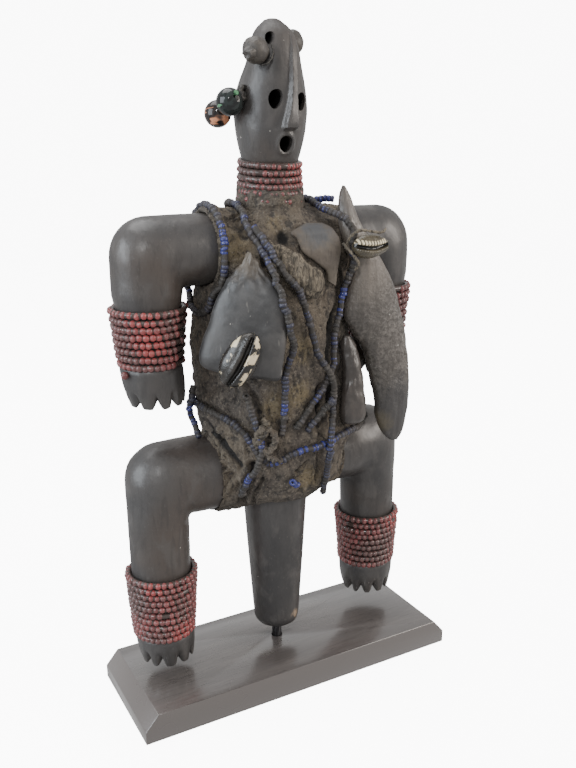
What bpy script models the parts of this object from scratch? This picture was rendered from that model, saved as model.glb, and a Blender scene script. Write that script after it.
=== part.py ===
"""Carved wooden power figure with bead cuffs, charms and a crusted wrap, on a rod and a bevelled plinth.

Metres, +Z up. The figure faces -Y and its right side is at -X. The origin is the middle of the plinth's
underside.
Forms on the figure are drawn in millimetres of a drawing, which spot() and UNIT bring to the real height.
"""
import math

import bpy
import bmesh
from mathutils import Vector
from mathutils.bvhtree import BVHTree

for old_object in list(bpy.data.objects):
    bpy.data.objects.remove(old_object, do_unlink=True)

MM = 0.001
RIGHT = -1
LEFT = 1

# Gap kept between pieces that touch
CLEARANCE = 0.3 * MM
WRAP_CLEARANCE = 0.5 * MM

# Plinth: a board whose two short ends are bevelled
PLINTH_LENGTH = 165.0 * MM
PLINTH_DEPTH = 58.4 * MM
PLINTH_EDGE = 6.4 * MM
PLINTH_BEVEL_HEIGHT = 7.1 * MM
PLINTH_BEVEL_WIDTH = 6.1 * MM
PLINTH_HEIGHT = PLINTH_EDGE + PLINTH_BEVEL_HEIGHT

# Rod between the plinth and the peg under the figure
ROD_RADIUS = 2.4 * MM
ROD_IN_PLINTH = 9.0 * MM
ROD_SHOWN = 9.9 * MM
ROD_IN_PEG = 24.0 * MM

# The figure's axis, and its height from the peg's foot to the crown
FIGURE_X = -0.5 * MM
FIGURE_Y = 2.0 * MM
FIGURE_HEIGHT = 281.9 * MM
PEG_FOOT = PLINTH_HEIGHT + ROD_SHOWN

# The drawing: heights there are counted from the plinth's underside
DRAWN_FOOT = 23.4
DRAWN_HEIGHT = 281.9
UNIT = FIGURE_HEIGHT / DRAWN_HEIGHT

# Beads
CUFF_BEAD = 3.1 * MM
COLLAR_BEAD = 2.6 * MM
STRAND_BEAD = 3.0 * MM
EAR_BEAD_RADIUS = 5.7 * UNIT
BROW_BALL_RADIUS = 5.5 * UNIT

parts = bpy.data.collections.new("power_figure")
tools = bpy.data.collections.new("cutters")
bpy.context.scene.collection.children.link(parts)
bpy.context.scene.collection.children.link(tools)


def finish(name, colour, roughness, metallic=0.0):
    """A plain material with one colour and gloss."""
    made = bpy.data.materials.new(name)
    made.use_nodes = True
    shader = made.node_tree.nodes["Principled BSDF"]
    shader.inputs["Base Color"].default_value = (*colour, 1.0)
    shader.inputs["Roughness"].default_value = roughness
    shader.inputs["Metallic"].default_value = metallic
    return made


carved_wood = finish("oiled_dark_wood", (0.045, 0.038, 0.033), 0.45)
plinth_wood = finish("stained_plinth_wood", (0.10, 0.085, 0.08), 0.35)
rod_steel = finish("dark_steel", (0.03, 0.03, 0.035), 0.35, 0.9)
red_glass = finish("red_bead_glass", (0.22, 0.035, 0.035), 0.3)
blue_glass = finish("blue_bead_glass", (0.03, 0.035, 0.09), 0.4)
crust = finish("crusted_cloth", (0.09, 0.075, 0.045), 0.9)
hide = finish("dark_hide", (0.06, 0.056, 0.052), 0.5)
pod_skin = finish("pod_skin", (0.07, 0.06, 0.05), 0.45)
shell = finish("worn_shell", (0.20, 0.17, 0.12), 0.4)
green_glass = finish("green_marbled_glass", (0.05, 0.09, 0.06), 0.15)
orange_glass = finish("orange_marbled_glass", (0.25, 0.12, 0.06), 0.15)


def spot(across, back, height):
    """World place of a point of the drawing: millimetres across, behind the axis, and above the underside."""
    rise = (height - DRAWN_FOOT) * UNIT
    return Vector((FIGURE_X + across * UNIT, FIGURE_Y + back * UNIT, PEG_FOOT + rise))


def place(name, mesh, material, collection=parts):
    """An object of this mesh in a collection, with its material."""
    made = bpy.data.objects.new(name, mesh)
    collection.objects.link(made)
    if material:
        mesh.materials.append(material)
    return made


def keep_form(name, form, material, collection=parts):
    """Turn a bmesh into an object, with its faces pointing out."""
    bmesh.ops.recalc_face_normals(form, faces=form.faces)
    mesh = bpy.data.meshes.new(name)
    form.to_mesh(mesh)
    form.free()
    return place(name, mesh, material, collection)


def loft(name, rings, material=None, collection=parts):
    """A closed skin over rings that have the same number of points."""
    form = bmesh.new()
    loops = [[form.verts.new(point) for point in ring] for ring in rings]
    for low, high in zip(loops, loops[1:]):
        for i in range(len(low)):
            j = (i + 1) % len(low)
            form.faces.new((low[i], low[j], high[j], high[i]))
    form.faces.new(loops[0])
    form.faces.new(loops[-1])
    return keep_form(name, form, material, collection)


def oval(centre, first, second, sides):
    """Points round an ellipse whose half axes are the vectors first and second."""
    turn = 2 * math.pi / sides
    return [centre + first * math.cos(k * turn) + second * math.sin(k * turn) for k in range(sides)]


def as_tool(piece):
    """Put a cutter or an added form away, so that only its effect is built."""
    for home in list(piece.users_collection):
        home.objects.unlink(piece)
    tools.objects.link(piece)
    piece.hide_render = True
    piece.display_type = "WIRE"
    return piece


def combine(piece, tool, operation):
    """Cut or join a piece by a tool."""
    step = piece.modifiers.new(tool.name, "BOOLEAN")
    step.operation = operation
    step.solver = "EXACT"
    step.object = as_tool(tool)


def settled_mesh(piece):
    """The mesh of a piece as its modifiers leave it."""
    graph = bpy.context.evaluated_depsgraph_get()
    return bpy.data.meshes.new_from_object(piece.evaluated_get(graph))


def ball(name, centre, radii, material=None, collection=parts, sides=14, rings=8):
    """An upright sphere stretched to its three radii."""
    form = bmesh.new()
    bmesh.ops.create_uvsphere(form, u_segments=sides, v_segments=rings, radius=1.0)
    for corner in form.verts:
        corner.co = centre + Vector(corner.co[i] * radii[i] for i in range(3))
    return keep_form(name, form, material, collection)


# Plinth
def make_plinth():
    """The outline seen from the front, extruded over the depth, with a blind hole for the rod."""
    half = PLINTH_LENGTH / 2
    outline = [(-half, 0), (half, 0), (half, PLINTH_EDGE), (half - PLINTH_BEVEL_WIDTH, PLINTH_HEIGHT),
               (-half + PLINTH_BEVEL_WIDTH, PLINTH_HEIGHT), (-half, PLINTH_EDGE)]
    rings = [[Vector((x, y, z)) for x, z in outline] for y in (-PLINTH_DEPTH / 2, PLINTH_DEPTH / 2)]
    plinth = loft("plinth", rings, plinth_wood)
    combine(plinth, rod_hole("rod_hole_in_plinth"), "DIFFERENCE")


def upright_pin(name, radius, low, high, material, collection=parts):
    """A round bar on the figure's axis."""
    bpy.ops.mesh.primitive_cylinder_add(vertices=16, radius=radius, depth=high - low,
                                        location=(FIGURE_X, FIGURE_Y, (low + high) / 2))
    bar = bpy.context.active_object
    for home in list(bar.users_collection):
        home.objects.unlink(bar)
    collection.objects.link(bar)
    bar.name = name
    if material:
        bar.data.materials.append(material)
    return bar


ROD_FOOT = PLINTH_HEIGHT - ROD_IN_PLINTH
ROD_TOP = PEG_FOOT + ROD_IN_PEG


def rod_hole(name):
    """The rod's own length and width with a clearance all round."""
    return upright_pin(name, ROD_RADIUS + CLEARANCE, ROD_FOOT - CLEARANCE, ROD_TOP + CLEARANCE, None)


# Carved figure. Rows of the upright body: height, half width, half depth, how far forward its middle lies
BODY_SIDES = 20
PEG_ROWS = [(23.4, 9.6, 9.4, 0), (25.6, 11.2, 11.0, 0), (34, 11.9, 11.6, 0), (59, 13.5, 13.1, 0),
            (86, 15.2, 14.6, 0)]
TORSO_ROWS = [(94, 15.9, 15.2, 0), (99, 26, 18.5, 0), (106, 31, 22, 0), (130, 32, 24, 0), (170, 31.5, 24, 0),
              (205, 31, 22, 0), (221, 24, 18, 0), (228.5, 14, 13.6, 0)]
NECK_ROWS = [(231, 12.3, 12.3, 0), (246.8, 11.7, 11.9, 0)]
HEAD_ROWS = [(248.6, 12.3, 12.7, 0.6), (253.3, 13.4, 14.1, 0.8), (260.3, 14.6, 15.5, 1), (268.5, 15.5, 16.3, 1),
             (275, 14.9, 15.9, 1.4), (281.3, 13.2, 14.5, 2.9), (288.2, 11.2, 12.1, 4.8),
             (293.7, 10.3, 10.9, 5.2), (299.3, 8.5, 9.1, 4.9), (303, 5.7, 6.2, 4.3), (305.3, 2.0, 2.2, 4)]


def body_rings(rows, grow=0.0):
    """Ellipses up the body, made wider by grow."""
    rings = []
    for height, half_width, half_depth, forward in rows:
        wide = Vector((half_width * UNIT + grow, 0, 0))
        deep = Vector((0, half_depth * UNIT + grow, 0))
        rings.append(oval(spot(0, -forward, height), wide, deep, BODY_SIDES))
    return rings


# Limbs: level from the body, round an elbow or a knee, then straight down to the hand or foot
LIMB_SIDES = 14
LIMB_OUT = 58.8
ARM_OUT = {RIGHT: 58.8, LEFT: 57.6}
ARM = {"level": 212.0, "level_half": 15.4, "column_half": 15.0, "set_back": 1.0, "corner": 13.0}
LEG = {"level": 109.0, "level_half": 17.8, "column_half": 14.1, "corner": 14.0}
LEG_SET_BACK = {RIGHT: 3.0, LEFT: 7.5}
LEG_LEVEL = {RIGHT: 109.0, LEFT: 107.5}
CROOK = 1.5
ELBOW_STEPS = 5

# Radius of a column by height, from the elbow or knee down
ARM_COLUMN = [(194, 14.8), (189, 13.9), (164.1, 11.6), (163.6, 13.9), (156, 13.3), (147.2, 11.2)]
LEG_COLUMN = {RIGHT: [(88, 14.1), (66, 13.8), (33.3, 11.8), (32.8, 13.8), (27, 13.3), (20.2, 11.2)],
              LEFT: [(87, 14.2), (68, 14.0), (39.2, 12.0), (38.7, 14.3), (32, 13.8), (23.4, 11.2)]}


def corner_reach(angle, width, height, corner):
    """Distance from the crook to the outside of the bend, a box with one rounded corner, in this direction."""
    ahead, up = math.cos(angle), math.sin(angle)
    middle_x, middle_z = width - corner, height - corner
    if ahead > 0 and width * up / max(ahead, 1e-9) <= middle_z:
        return width / ahead
    if up > 0 and height * ahead / max(up, 1e-9) <= middle_x:
        return height / up
    along = ahead * middle_x + up * middle_z
    return along + math.sqrt(max(along * along - middle_x ** 2 - middle_z ** 2 + corner ** 2, 0.0))


def limb_rings(side, form, column, set_back, level, out=LIMB_OUT, grow=0.0):
    """Rings of a limb on one side, its column out from the axis. grow widens them, for the wrap's hollow."""
    extra = grow / UNIT
    half, post = form["level_half"] + extra, form["column_half"] + extra
    crook_x = out - form["column_half"] - CROOK
    crook_z = level - form["level_half"] - CROOK
    rings = []
    for across in (6.0, crook_x - 6.0):
        deep = Vector((0, half * UNIT, 0))
        tall = Vector((0, 0, half * UNIT))
        rings.append(oval(spot(side * across, set_back, level), deep, tall, LIMB_SIDES))
    for step in range(ELBOW_STEPS + 1):
        share = step / ELBOW_STEPS
        angle = math.pi / 2 * (1 - share)
        reach = corner_reach(angle, 2 * form["column_half"] + CROOK, 2 * form["level_half"] + CROOK,
                             form["corner"])
        middle, radius = (reach + CROOK) / 2, (reach - CROOK) / 2 + extra
        outward = Vector((side * math.cos(angle), 0, math.sin(angle)))
        centre = spot(side * (crook_x + middle * math.cos(angle)), set_back,
                      crook_z + middle * math.sin(angle))
        deep = Vector((0, (half * (1 - share) + post * share) * UNIT, 0))
        rings.append(oval(centre, deep, outward * radius * UNIT, LIMB_SIDES))
    for height, radius in column:
        size = (radius + extra) * UNIT
        rings.append(oval(spot(side * out, set_back, height), Vector((0, size, 0)),
                          Vector((side * size, 0, 0)), LIMB_SIDES))
    return rings


def column_radius(column, height):
    """Radius of a column at a height, read between its rows."""
    for (high, wide), (low, narrow) in zip(column, column[1:]):
        if low <= height <= high:
            return narrow + (wide - narrow) * (height - low) / (high - low)
    return column[0][1]


# Fingers and toes are the points left between grooves cut up from the end of the limb
DIGIT_ANGLES = (-66, -23, 23, 66)
GROOVE_WIDTH = 6.2
GROOVE_RISE = 5.0


def digit_grooves(name, across, set_back, end):
    """Wedges that run outwards from under the limb's middle, narrow inside and wide at the skin."""
    form = bmesh.new()
    for degrees in DIGIT_ANGLES:
        turn = math.radians(degrees)
        out, along = Vector((math.sin(turn), -math.cos(turn), 0)), Vector((math.cos(turn), math.sin(turn), 0))
        ends = []
        for distance, share in ((5.0, 0.15), (16.0, 1.25)):
            foot = spot(across, set_back, end) + out * distance * UNIT
            spread = along * GROOVE_WIDTH / 2 * share * UNIT
            rise = Vector((0, 0, GROOVE_RISE * share * UNIT))
            drop = Vector((0, 0, -2.0 * UNIT))
            ends.append([form.verts.new(p) for p in (foot - spread + drop, foot + spread + drop, foot + rise)])
        inner, outer = ends
        form.faces.new(inner)
        form.faces.new(outer)
        for i in range(3):
            j = (i + 1) % 3
            form.faces.new((inner[i], inner[j], outer[j], outer[i]))
    return keep_form(name, form, None)


# Face: a long ridge for a nose, which leans a little, two eye holes, a round mouth in a thin rim and a cord
# hole. The nose is given by height, place across, half width and how far it stands out
NOSE_ROWS = [(299, 4.5, 1.5, 0.4), (288.6, 3.2, 1.8, 1.3), (278.7, 2.7, 1.85, 1.9), (271.6, 2.1, 2.1, 2.5),
             (266.3, 1.4, 2.8, 3.0), (262.6, 1.2, 3.4, 3.3), (261.6, 1.2, 3.4, 2.6)]
EYE_ACROSS = {RIGHT: -5.1, LEFT: 7.5}
EYE_HEIGHT = 272.8
EYE_HALF = (2.8, 3.9)
MOUTH_HEIGHT = 255.4
MOUTH_HALF = (2.9, 3.4)
MOUTH_RIM = 0.7
BROW_HOLE = (-5.7, 295.6)
BROW_HOLE_HALF = (2.0, 2.8)
HOLE_DEPTH = 6.0


def face_front(height, across=0.0):
    """How far in front of the axis the face lies at this height, on the middle line or beside it."""
    rows = zip(HEAD_ROWS, HEAD_ROWS[1:])
    for (low, low_wide, low_deep, low_fore), (high, high_wide, high_deep, high_fore) in rows:
        if low <= height <= high:
            share = (height - low) / (high - low)
            wide = low_wide * (1 - share) + high_wide * share
            deep = low_deep * (1 - share) + high_deep * share
            fore = low_fore * (1 - share) + high_fore * share
            return fore + deep * math.sqrt(1 - (across / wide) ** 2)
    return HEAD_ROWS[0][2]


def face_hole(name, across, height, half, front):
    """An oval hole that runs straight back into the head."""
    bpy.ops.mesh.primitive_cylinder_add(vertices=10, radius=1.0, depth=1.0, rotation=(math.pi / 2, 0, 0))
    cutter = bpy.context.active_object
    cutter.name = name
    cutter.scale = (half[0] * UNIT, half[1] * UNIT, 2 * HOLE_DEPTH * UNIT)
    cutter.location = spot(across, -front, height)
    return cutter


def make_nose():
    """A ridge of four-sided rows, set into the face."""
    rings = []
    for height, across, half_width, stand in NOSE_ROWS:
        ring = []
        for way, out in ((-1, -2.5), (-0.7, stand), (0.7, stand), (1, -2.5)):
            place = across + way * half_width
            ring.append(spot(place, -face_front(height, place) - out, height))
        rings.append(ring)
    return loft("nose", rings)


def make_figure():
    """The whole carving, joined into one solid."""
    figure = loft("carved_figure", body_rings(PEG_ROWS + TORSO_ROWS + NECK_ROWS + HEAD_ROWS), carved_wood)
    combine(figure, rod_hole("rod_hole_in_peg"), "DIFFERENCE")
    for side, word in ((RIGHT, "right"), (LEFT, "left")):
        arm_rings = limb_rings(side, ARM, ARM_COLUMN, ARM["set_back"], ARM["level"], ARM_OUT[side])
        arm = loft(word + "_arm", arm_rings)
        combine(figure, arm, "UNION")
        column = LEG_COLUMN[side]
        leg = loft(word + "_leg", limb_rings(side, LEG, column, LEG_SET_BACK[side], LEG_LEVEL[side]))
        combine(figure, leg, "UNION")
        hand_end, foot_end = ARM_COLUMN[-1][0], column[-1][0]
        fingers = digit_grooves(word + "_fingers", side * ARM_OUT[side], ARM["set_back"], hand_end)
        toes = digit_grooves(word + "_toes", side * LIMB_OUT, LEG_SET_BACK[side], foot_end)
        combine(figure, fingers, "DIFFERENCE")
        combine(figure, toes, "DIFFERENCE")
    combine(figure, make_nose(), "UNION")
    mouth_front = face_front(MOUTH_HEIGHT)
    rim = face_hole("mouth_rim", 0, MOUTH_HEIGHT, [half + MOUTH_RIM for half in MOUTH_HALF],
                    mouth_front + MOUTH_RIM - HOLE_DEPTH)
    combine(figure, rim, "UNION")
    combine(figure, face_hole("mouth_hole", 0, MOUTH_HEIGHT, MOUTH_HALF, mouth_front), "DIFFERENCE")
    for side in (RIGHT, LEFT):
        eye_front = face_front(EYE_HEIGHT) * 0.94
        hole = face_hole("eye_hole", EYE_ACROSS[side], EYE_HEIGHT, EYE_HALF, eye_front)
        combine(figure, hole, "DIFFERENCE")
    brow_front = face_front(BROW_HOLE[1]) - 2
    brow = face_hole("brow_hole", BROW_HOLE[0], BROW_HOLE[1], BROW_HOLE_HALF, brow_front)
    combine(figure, brow, "DIFFERENCE")
    return figure


# Bead cuffs and collar: turned rings with one ridge for each row of beads
CUFF_SIDES = 14


def bead_ring(name, across, back, top, rows, pitch, bead, column):
    """A ring of bead rows on a tapering limb, from its top down."""
    outer, inner = [], []
    for row in range(rows):
        crest = top - (row + 0.5) * pitch
        edge = top - row * pitch
        outer.append((column_radius(column, edge) * UNIT + CLEARANCE + bead * 0.72, edge))
        outer.append((column_radius(column, crest) * UNIT + CLEARANCE + bead, crest))
    bottom = top - rows * pitch
    outer.append((column_radius(column, bottom) * UNIT + CLEARANCE + bead * 0.72, bottom))
    for height in (bottom, top):
        inner.append((column_radius(column, height) * UNIT + CLEARANCE, height))
    profile = outer + inner
    mesh = bpy.data.meshes.new(name)
    base = spot(across, back, DRAWN_FOOT)
    corners = [(0, radius, (height - DRAWN_FOOT) * UNIT) for radius, height in profile]
    edges = [(i, (i + 1) % len(corners)) for i in range(len(corners))]
    mesh.from_pydata(corners, edges, [])
    ring = place(name, mesh, red_glass)
    ring.location = base
    screw = ring.modifiers.new("turned", "SCREW")
    screw.steps = CUFF_SIDES
    screw.render_steps = CUFF_SIDES
    screw.use_merge_vertices = True
    screw.merge_threshold = 0.00001
    return ring


ARM_CUFF_TOP = 190.3
ARM_CUFF_ROWS = 8
CUFF_PITCH = 3.25
LEG_CUFF_TOP = {RIGHT: 66.0, LEFT: 68.6}
LEG_CUFF_ROWS = {RIGHT: 10, LEFT: 9}
COLLAR_TOP = 247.0
COLLAR_ROWS = 7
COLLAR_PITCH = 2.5
NECK_COLUMN = [(247.2, 12.1), (246.8, 11.9), (231, 12.4), (228.5, 14.1)]


def make_cuffs():
    """Four cuffs and the collar."""
    for side, word in ((RIGHT, "right"), (LEFT, "left")):
        bead_ring(word + "_arm_bead_cuff", side * ARM_OUT[side], ARM["set_back"], ARM_CUFF_TOP, ARM_CUFF_ROWS,
                  CUFF_PITCH, CUFF_BEAD, ARM_COLUMN)
        bead_ring(word + "_leg_bead_cuff", side * LIMB_OUT, LEG_SET_BACK[side], LEG_CUFF_TOP[side],
                  LEG_CUFF_ROWS[side], CUFF_PITCH, CUFF_BEAD, LEG_COLUMN[side])
    return bead_ring("neck_bead_collar", 0, 0, COLLAR_TOP, COLLAR_ROWS, COLLAR_PITCH, COLLAR_BEAD, NECK_COLUMN)


# Wrap: crusted cloth over the whole torso, the shoulders and the hips
WRAP_SIDES = 24
WRAP_ROWS = [(94, 19.5, 16.8), (96, 25.5, 20), (99.5, 30.5, 24), (104, 33.5, 26), (115, 36, 28.5),
             (132, 36.5, 29.5), (150, 37.5, 29.5), (170, 37.5, 28.5), (190, 36, 27.5), (205, 34, 26.5),
             (218, 31, 23), (225, 24, 18.5), (228.6, 17, 15.8)]
WRAP_LUMP = 0.7

# A thick place low on the figure's left side: how far it stands out, its direction, its height and its spread
SIDE_BULGE = 9.5
BULGE_TURN = math.radians(-24)
BULGE_HEIGHT = 139.0
BULGE_SPREAD = 15.0
SHOULDER_SLEEVE = 17.3
SHOULDER_SLEEVE_ENDS = {RIGHT: 33.0, LEFT: 36.0}
HIP_SLEEVE = 19.6
HIP_SLEEVE_ENDS = {RIGHT: 34.0, LEFT: 34.0}


def sleeve(name, side, end, set_back, level, radius):
    """Wrap round the root of a limb."""
    rings = []
    for across, share in ((4.0, 1.0), (end - 2.0, 1.0), (end, 0.965)):
        size = radius * share * UNIT
        rings.append(oval(spot(side * across, set_back, level), Vector((0, size, 0)), Vector((0, 0, size)),
                          LIMB_SIDES + 4))
    return loft(name, rings)


def make_wrap():
    """A lumpy skin with the figure's own form cut out of it."""
    rings = []
    for height, half_width, half_depth in WRAP_ROWS:
        ring = []
        for k in range(WRAP_SIDES):
            turn = 2 * math.pi * k / WRAP_SIDES
            lump = WRAP_LUMP * math.sin(5 * turn + height * 0.21) * math.cos(2 * turn - height * 0.13)
            swell = math.exp(-((height - BULGE_HEIGHT) / BULGE_SPREAD) ** 2)
            lump += SIDE_BULGE * swell * max(math.cos(turn - BULGE_TURN), 0) ** 6
            wide, deep = half_width + lump, half_depth + lump
            ring.append(spot(wide * math.cos(turn), deep * math.sin(turn), height))
        rings.append(ring)
    wrap = loft("body_wrap", rings, crust)
    for side, word in ((RIGHT, "right"), (LEFT, "left")):
        combine(wrap, sleeve(word + "_shoulder_sleeve", side, SHOULDER_SLEEVE_ENDS[side], ARM["set_back"],
                             ARM["level"], SHOULDER_SLEEVE), "UNION")
        combine(wrap, sleeve(word + "_hip_sleeve", side, HIP_SLEEVE_ENDS[side], LEG_SET_BACK[side],
                             LEG_LEVEL[side], HIP_SLEEVE), "UNION")
    hollow = loft("torso_hollow", body_rings(PEG_ROWS + TORSO_ROWS + NECK_ROWS, WRAP_CLEARANCE))
    combine(wrap, hollow, "DIFFERENCE")
    for side, word in ((RIGHT, "right"), (LEFT, "left")):
        arm = limb_rings(side, ARM, ARM_COLUMN, ARM["set_back"], ARM["level"], ARM_OUT[side], WRAP_CLEARANCE)
        combine(wrap, loft(word + "_arm_hollow", arm), "DIFFERENCE")
        leg = limb_rings(side, LEG, LEG_COLUMN[side], LEG_SET_BACK[side], LEG_LEVEL[side], LIMB_OUT,
                         WRAP_CLEARANCE)
        combine(wrap, loft(word + "_leg_hollow", leg), "DIFFERENCE")
    return wrap


# Balls on the brow, each a broken lump of wood set into the head
BROW_BALLS = {"right_brow_ball": ((-12.7, -13.6, 291.9), (-0.82, -0.57, -0.06)),
              "left_brow_ball": ((11.6, 0.4, 296.8), (0.75, 0.6, 0.15))}
BALL_SIDES = 12
NUB_RADIUS = 2.3
NUB_REACH = 1.6


def make_brow_ball(name, centre, outward, figure):
    """A ball with a short stub, and a seat for it cut into the head."""
    middle = spot(*centre)
    size = BROW_BALL_RADIUS
    combine(figure, ball(name + "_seat", middle, [size + CLEARANCE] * 3, sides=BALL_SIDES), "DIFFERENCE")
    made = ball(name, middle, [size] * 3, carved_wood, sides=BALL_SIDES)
    aim = Vector(outward).normalized()
    tip = middle + aim * (size + NUB_REACH * UNIT)
    first = aim.orthogonal().normalized()
    second = aim.cross(first)
    rings = []
    for point, share in ((middle + aim * size * 0.6, 1.5), (tip - aim * UNIT, 1.0), (tip, 0.6)):
        radius = NUB_RADIUS * share * UNIT
        rings.append(oval(point, first * radius, second * radius, 7))
    combine(made, loft(name + "_nub", rings), "UNION")
    return made


# Glass beads that hang at the figure's right ear
EAR_BEADS = {"green_ear_bead": ((-21.1, -5.8, 272.3), green_glass),
             "orange_ear_bead": ((-21.8, 5.0, 267.9), orange_glass)}


# Things laid on the wrap rest on what is already there: a list of search trees, one for each finished piece
laid = []
GAP = 0.35 * MM
TRACE_STEPS = 80
TRACE_END = 0.01 * MM


def remember(piece):
    """Let later pieces rest on this one."""
    mesh = settled_mesh(piece)
    mesh.transform(piece.matrix_world)
    laid.append(BVHTree.FromPolygons([v.co for v in mesh.vertices], [tuple(f.vertices) for f in mesh.polygons]))
    return piece


def travel(start, inward, radius, limit):
    """How far a ball of this radius moves inward before it meets a laid piece, at most limit."""
    gone = 0.0
    for _ in range(TRACE_STEPS):
        room = min(tree.find_nearest(start + inward * gone)[3] for tree in laid) - radius
        gone += max(room, 0.0)
        if room < TRACE_END or gone > limit:
            break
    return min(gone, limit)


def drawn_tight(values, closed):
    """Pull a row of distances tight: none lies further in than a straight line between its neighbours."""
    for _ in range(60):
        held = values[:]
        for i in range(len(values)):
            if closed or 0 < i < len(values) - 1:
                between = (held[i - 1] + held[(i + 1) % len(held)]) / 2
                values[i] = max(values[i], between)
    return values


# Charms. Each faces phi degrees to the left of the front. A row gives its left end (across, height), its right
# end and half its thickness; how far a row stands from the axis comes from what lies behind it
FAR = 75.0


def facing(phi):
    """The directions across and out of a charm."""
    turn = math.radians(phi)
    return Vector((math.cos(turn), math.sin(turn), 0)), Vector((math.sin(turn), -math.cos(turn), 0))


def on_front(phi, across, stand, height):
    """World place of a point of a charm."""
    sideways, out = facing(phi)
    flat = sideways * across + out * stand
    return spot(flat.x, flat.y, height)


def row_stand(phi, row, least):
    """Distance from the axis at which a row rests, never less than least."""
    left, left_height, right, right_height, half = row
    out = facing(phi)[1]
    best = least
    for share, slim in ((0.15, 0.5), (0.32, 0.85), (0.5, 1.0), (0.68, 0.85), (0.85, 0.5)):
        across, height = left + (right - left) * share, left_height + (right_height - left_height) * share
        start = on_front(phi, across, FAR, height)
        gone = travel(start, -out, half * slim * UNIT + GAP, (FAR - least) * UNIT)
        best = max(best, FAR - gone / UNIT)
    return best


def charm(name, phi, rows, material, least=(20.0, 20.0), sides=12, lift=0.0):
    """A flattened form whose rows rest on what is behind them, at least as far out as least says."""
    stands = []
    for k, row in enumerate(rows):
        nearest = least[0] + (least[1] - least[0]) * k / (len(rows) - 1)
        stands.append(row_stand(phi, row, nearest) + lift)
    drawn_tight(stands, False)
    out = facing(phi)[1]
    rings = []
    for (left, left_height, right, right_height, half), stand in zip(rows, stands):
        low, high = on_front(phi, left, stand, left_height), on_front(phi, right, stand, right_height)
        rings.append(oval((low + high) / 2, (high - low) / 2, out * half * UNIT, sides))
    return loft(name, rings, material), stands


POUCH_ROWS = [(-7.4, 213.3, -4.6, 212.4, 1.4), (-10, 208, -1.0, 207, 3.2), (-15.3, 203, 3.5, 201, 4.4),
              (-20.2, 194.5, 9.0, 194, 5.0), (-23.7, 184.5, 9.5, 184.5, 5.6), (-27.8, 174.5, 9.0, 175, 6.2),
              (-28.2, 167.5, 7.6, 166.5, 6.0), (-25.3, 163.8, 7.0, 160.5, 4.8), (-21.5, 163, 5.0, 158.0, 2.6)]
PACKET_ROWS = [(-13.2, 214.8, -9.5, 216.6, 1.0), (-11.5, 208.8, -3.5, 213.8, 2.2),
               (-7.6, 203.2, 3.4, 208.2, 3.2),
               (-3.2, 197.8, 9.0, 204, 3.6), (0.8, 193.6, 12.3, 197.6, 3.2), (5.2, 190.8, 11.4, 192.4, 1.6)]
TAB_ROWS = [(7.0, 222.8, 14.5, 222.5, 0.9), (-2.4, 219.9, 17.8, 220.2, 1.1), (-0.7, 216.6, 20.0, 216, 1.1),
            (1.7, 211, 20.4, 211, 1.1), (8.4, 206.0, 19.4, 206.4, 1.1), (12.8, 202.8, 18.8, 203.2, 1.1),
            (13.8, 198, 18.0, 195.5, 1.0)]
POD_ROWS = [(26.6, 237.8, 27.8, 237.6, 0.8), (25, 234, 30, 234, 2.2), (23.8, 228, 31.5, 228, 3.4),
            (23.3, 221.5, 34.2, 220.5, 4.4), (25, 212, 39, 212, 5.4), (28, 203, 44.5, 203.5, 6.2),
            (26.5, 193, 50, 194, 6.6), (24, 182, 53.8, 183, 6.8), (28.5, 172.5, 56.5, 173, 6.5),
            (34.2, 164.3, 58.2, 163.7, 6.2), (38, 152, 59.8, 152, 5.8), (41.2, 140, 60, 140, 5.4),
            (42, 130.5, 59, 131, 4.8), (45.9, 121.5, 57, 122, 3.6), (49.8, 118, 54, 117.6, 1.6)]
INNER_POD_ROWS = [(22.8, 172.6, 25.4, 172.2, 1.2), (20.8, 169, 28.4, 168, 2.8), (20.6, 157.2, 30.2, 157.2, 3.6),
                  (19.6, 147, 31.2, 147, 4.0), (18.6, 138.5, 31.8, 138.5, 4.0), (20.2, 133, 31.4, 133, 3.2),
                  (23.5, 130.9, 29.0, 130.8, 1.6)]

# Cowries: ends of the long axis, half width, half thickness, and the slot's share of the width from the middle
COWRIE_PROFILE = [(0.0, 0.22), (0.07, 0.5), (0.2, 0.8), (0.4, 0.99), (0.58, 1.0), (0.76, 0.86), (0.9, 0.56),
                  (0.98, 0.26)]
SLOT_HALF = 0.75
SLOT_DEPTH = 1.6


def make_cowrie(name, phi, low, high, half_width, half_thick, slot_shift):
    """An egg-shaped shell with a long bent slot along its outer face."""
    length = math.hypot(high[0] - low[0], high[1] - low[1])
    along = ((high[0] - low[0]) / length, (high[1] - low[1]) / length)
    aside = (along[1], -along[0])
    rows = []
    for share, size in COWRIE_PROFILE:
        middle = [low[i] + along[i] * length * share for i in (0, 1)]
        left = [middle[i] - aside[i] * half_width * size for i in (0, 1)]
        right = [middle[i] + aside[i] * half_width * size for i in (0, 1)]
        rows.append((*left, *right, half_thick * size))
    made, stands = charm(name, phi, rows, shell, sides=12)
    slot = []
    for (share, size), row, stand in list(zip(COWRIE_PROFILE, rows, stands))[1:-1]:
        bow = slot_shift + 0.9 * math.sin(math.pi * share)
        half = SLOT_HALF * (0.55 + 0.45 * math.sin(math.pi * share))
        shelf = stand + half_thick * size - SLOT_DEPTH
        ring = []
        left, right = bow - half, bow + half
        for offset, depth in ((left, shelf), (right, shelf), (right, shelf + 4), (left, shelf + 4)):
            middle = [low[i] + along[i] * length * share + aside[i] * offset for i in (0, 1)]
            ring.append(on_front(phi, middle[0], depth, middle[1]))
        slot.append(ring)
    combine(made, loft(name + "_slot", slot), "DIFFERENCE")
    return made


# Strands of small beads. A guide is a list of places on the drawing, and the strand is drawn tight over it
SAMPLE = 1.5
SEGMENT = 6.0
STRAND_START = 16.0
CORE_LOW, CORE_HIGH = 100.0, 205.0


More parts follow.
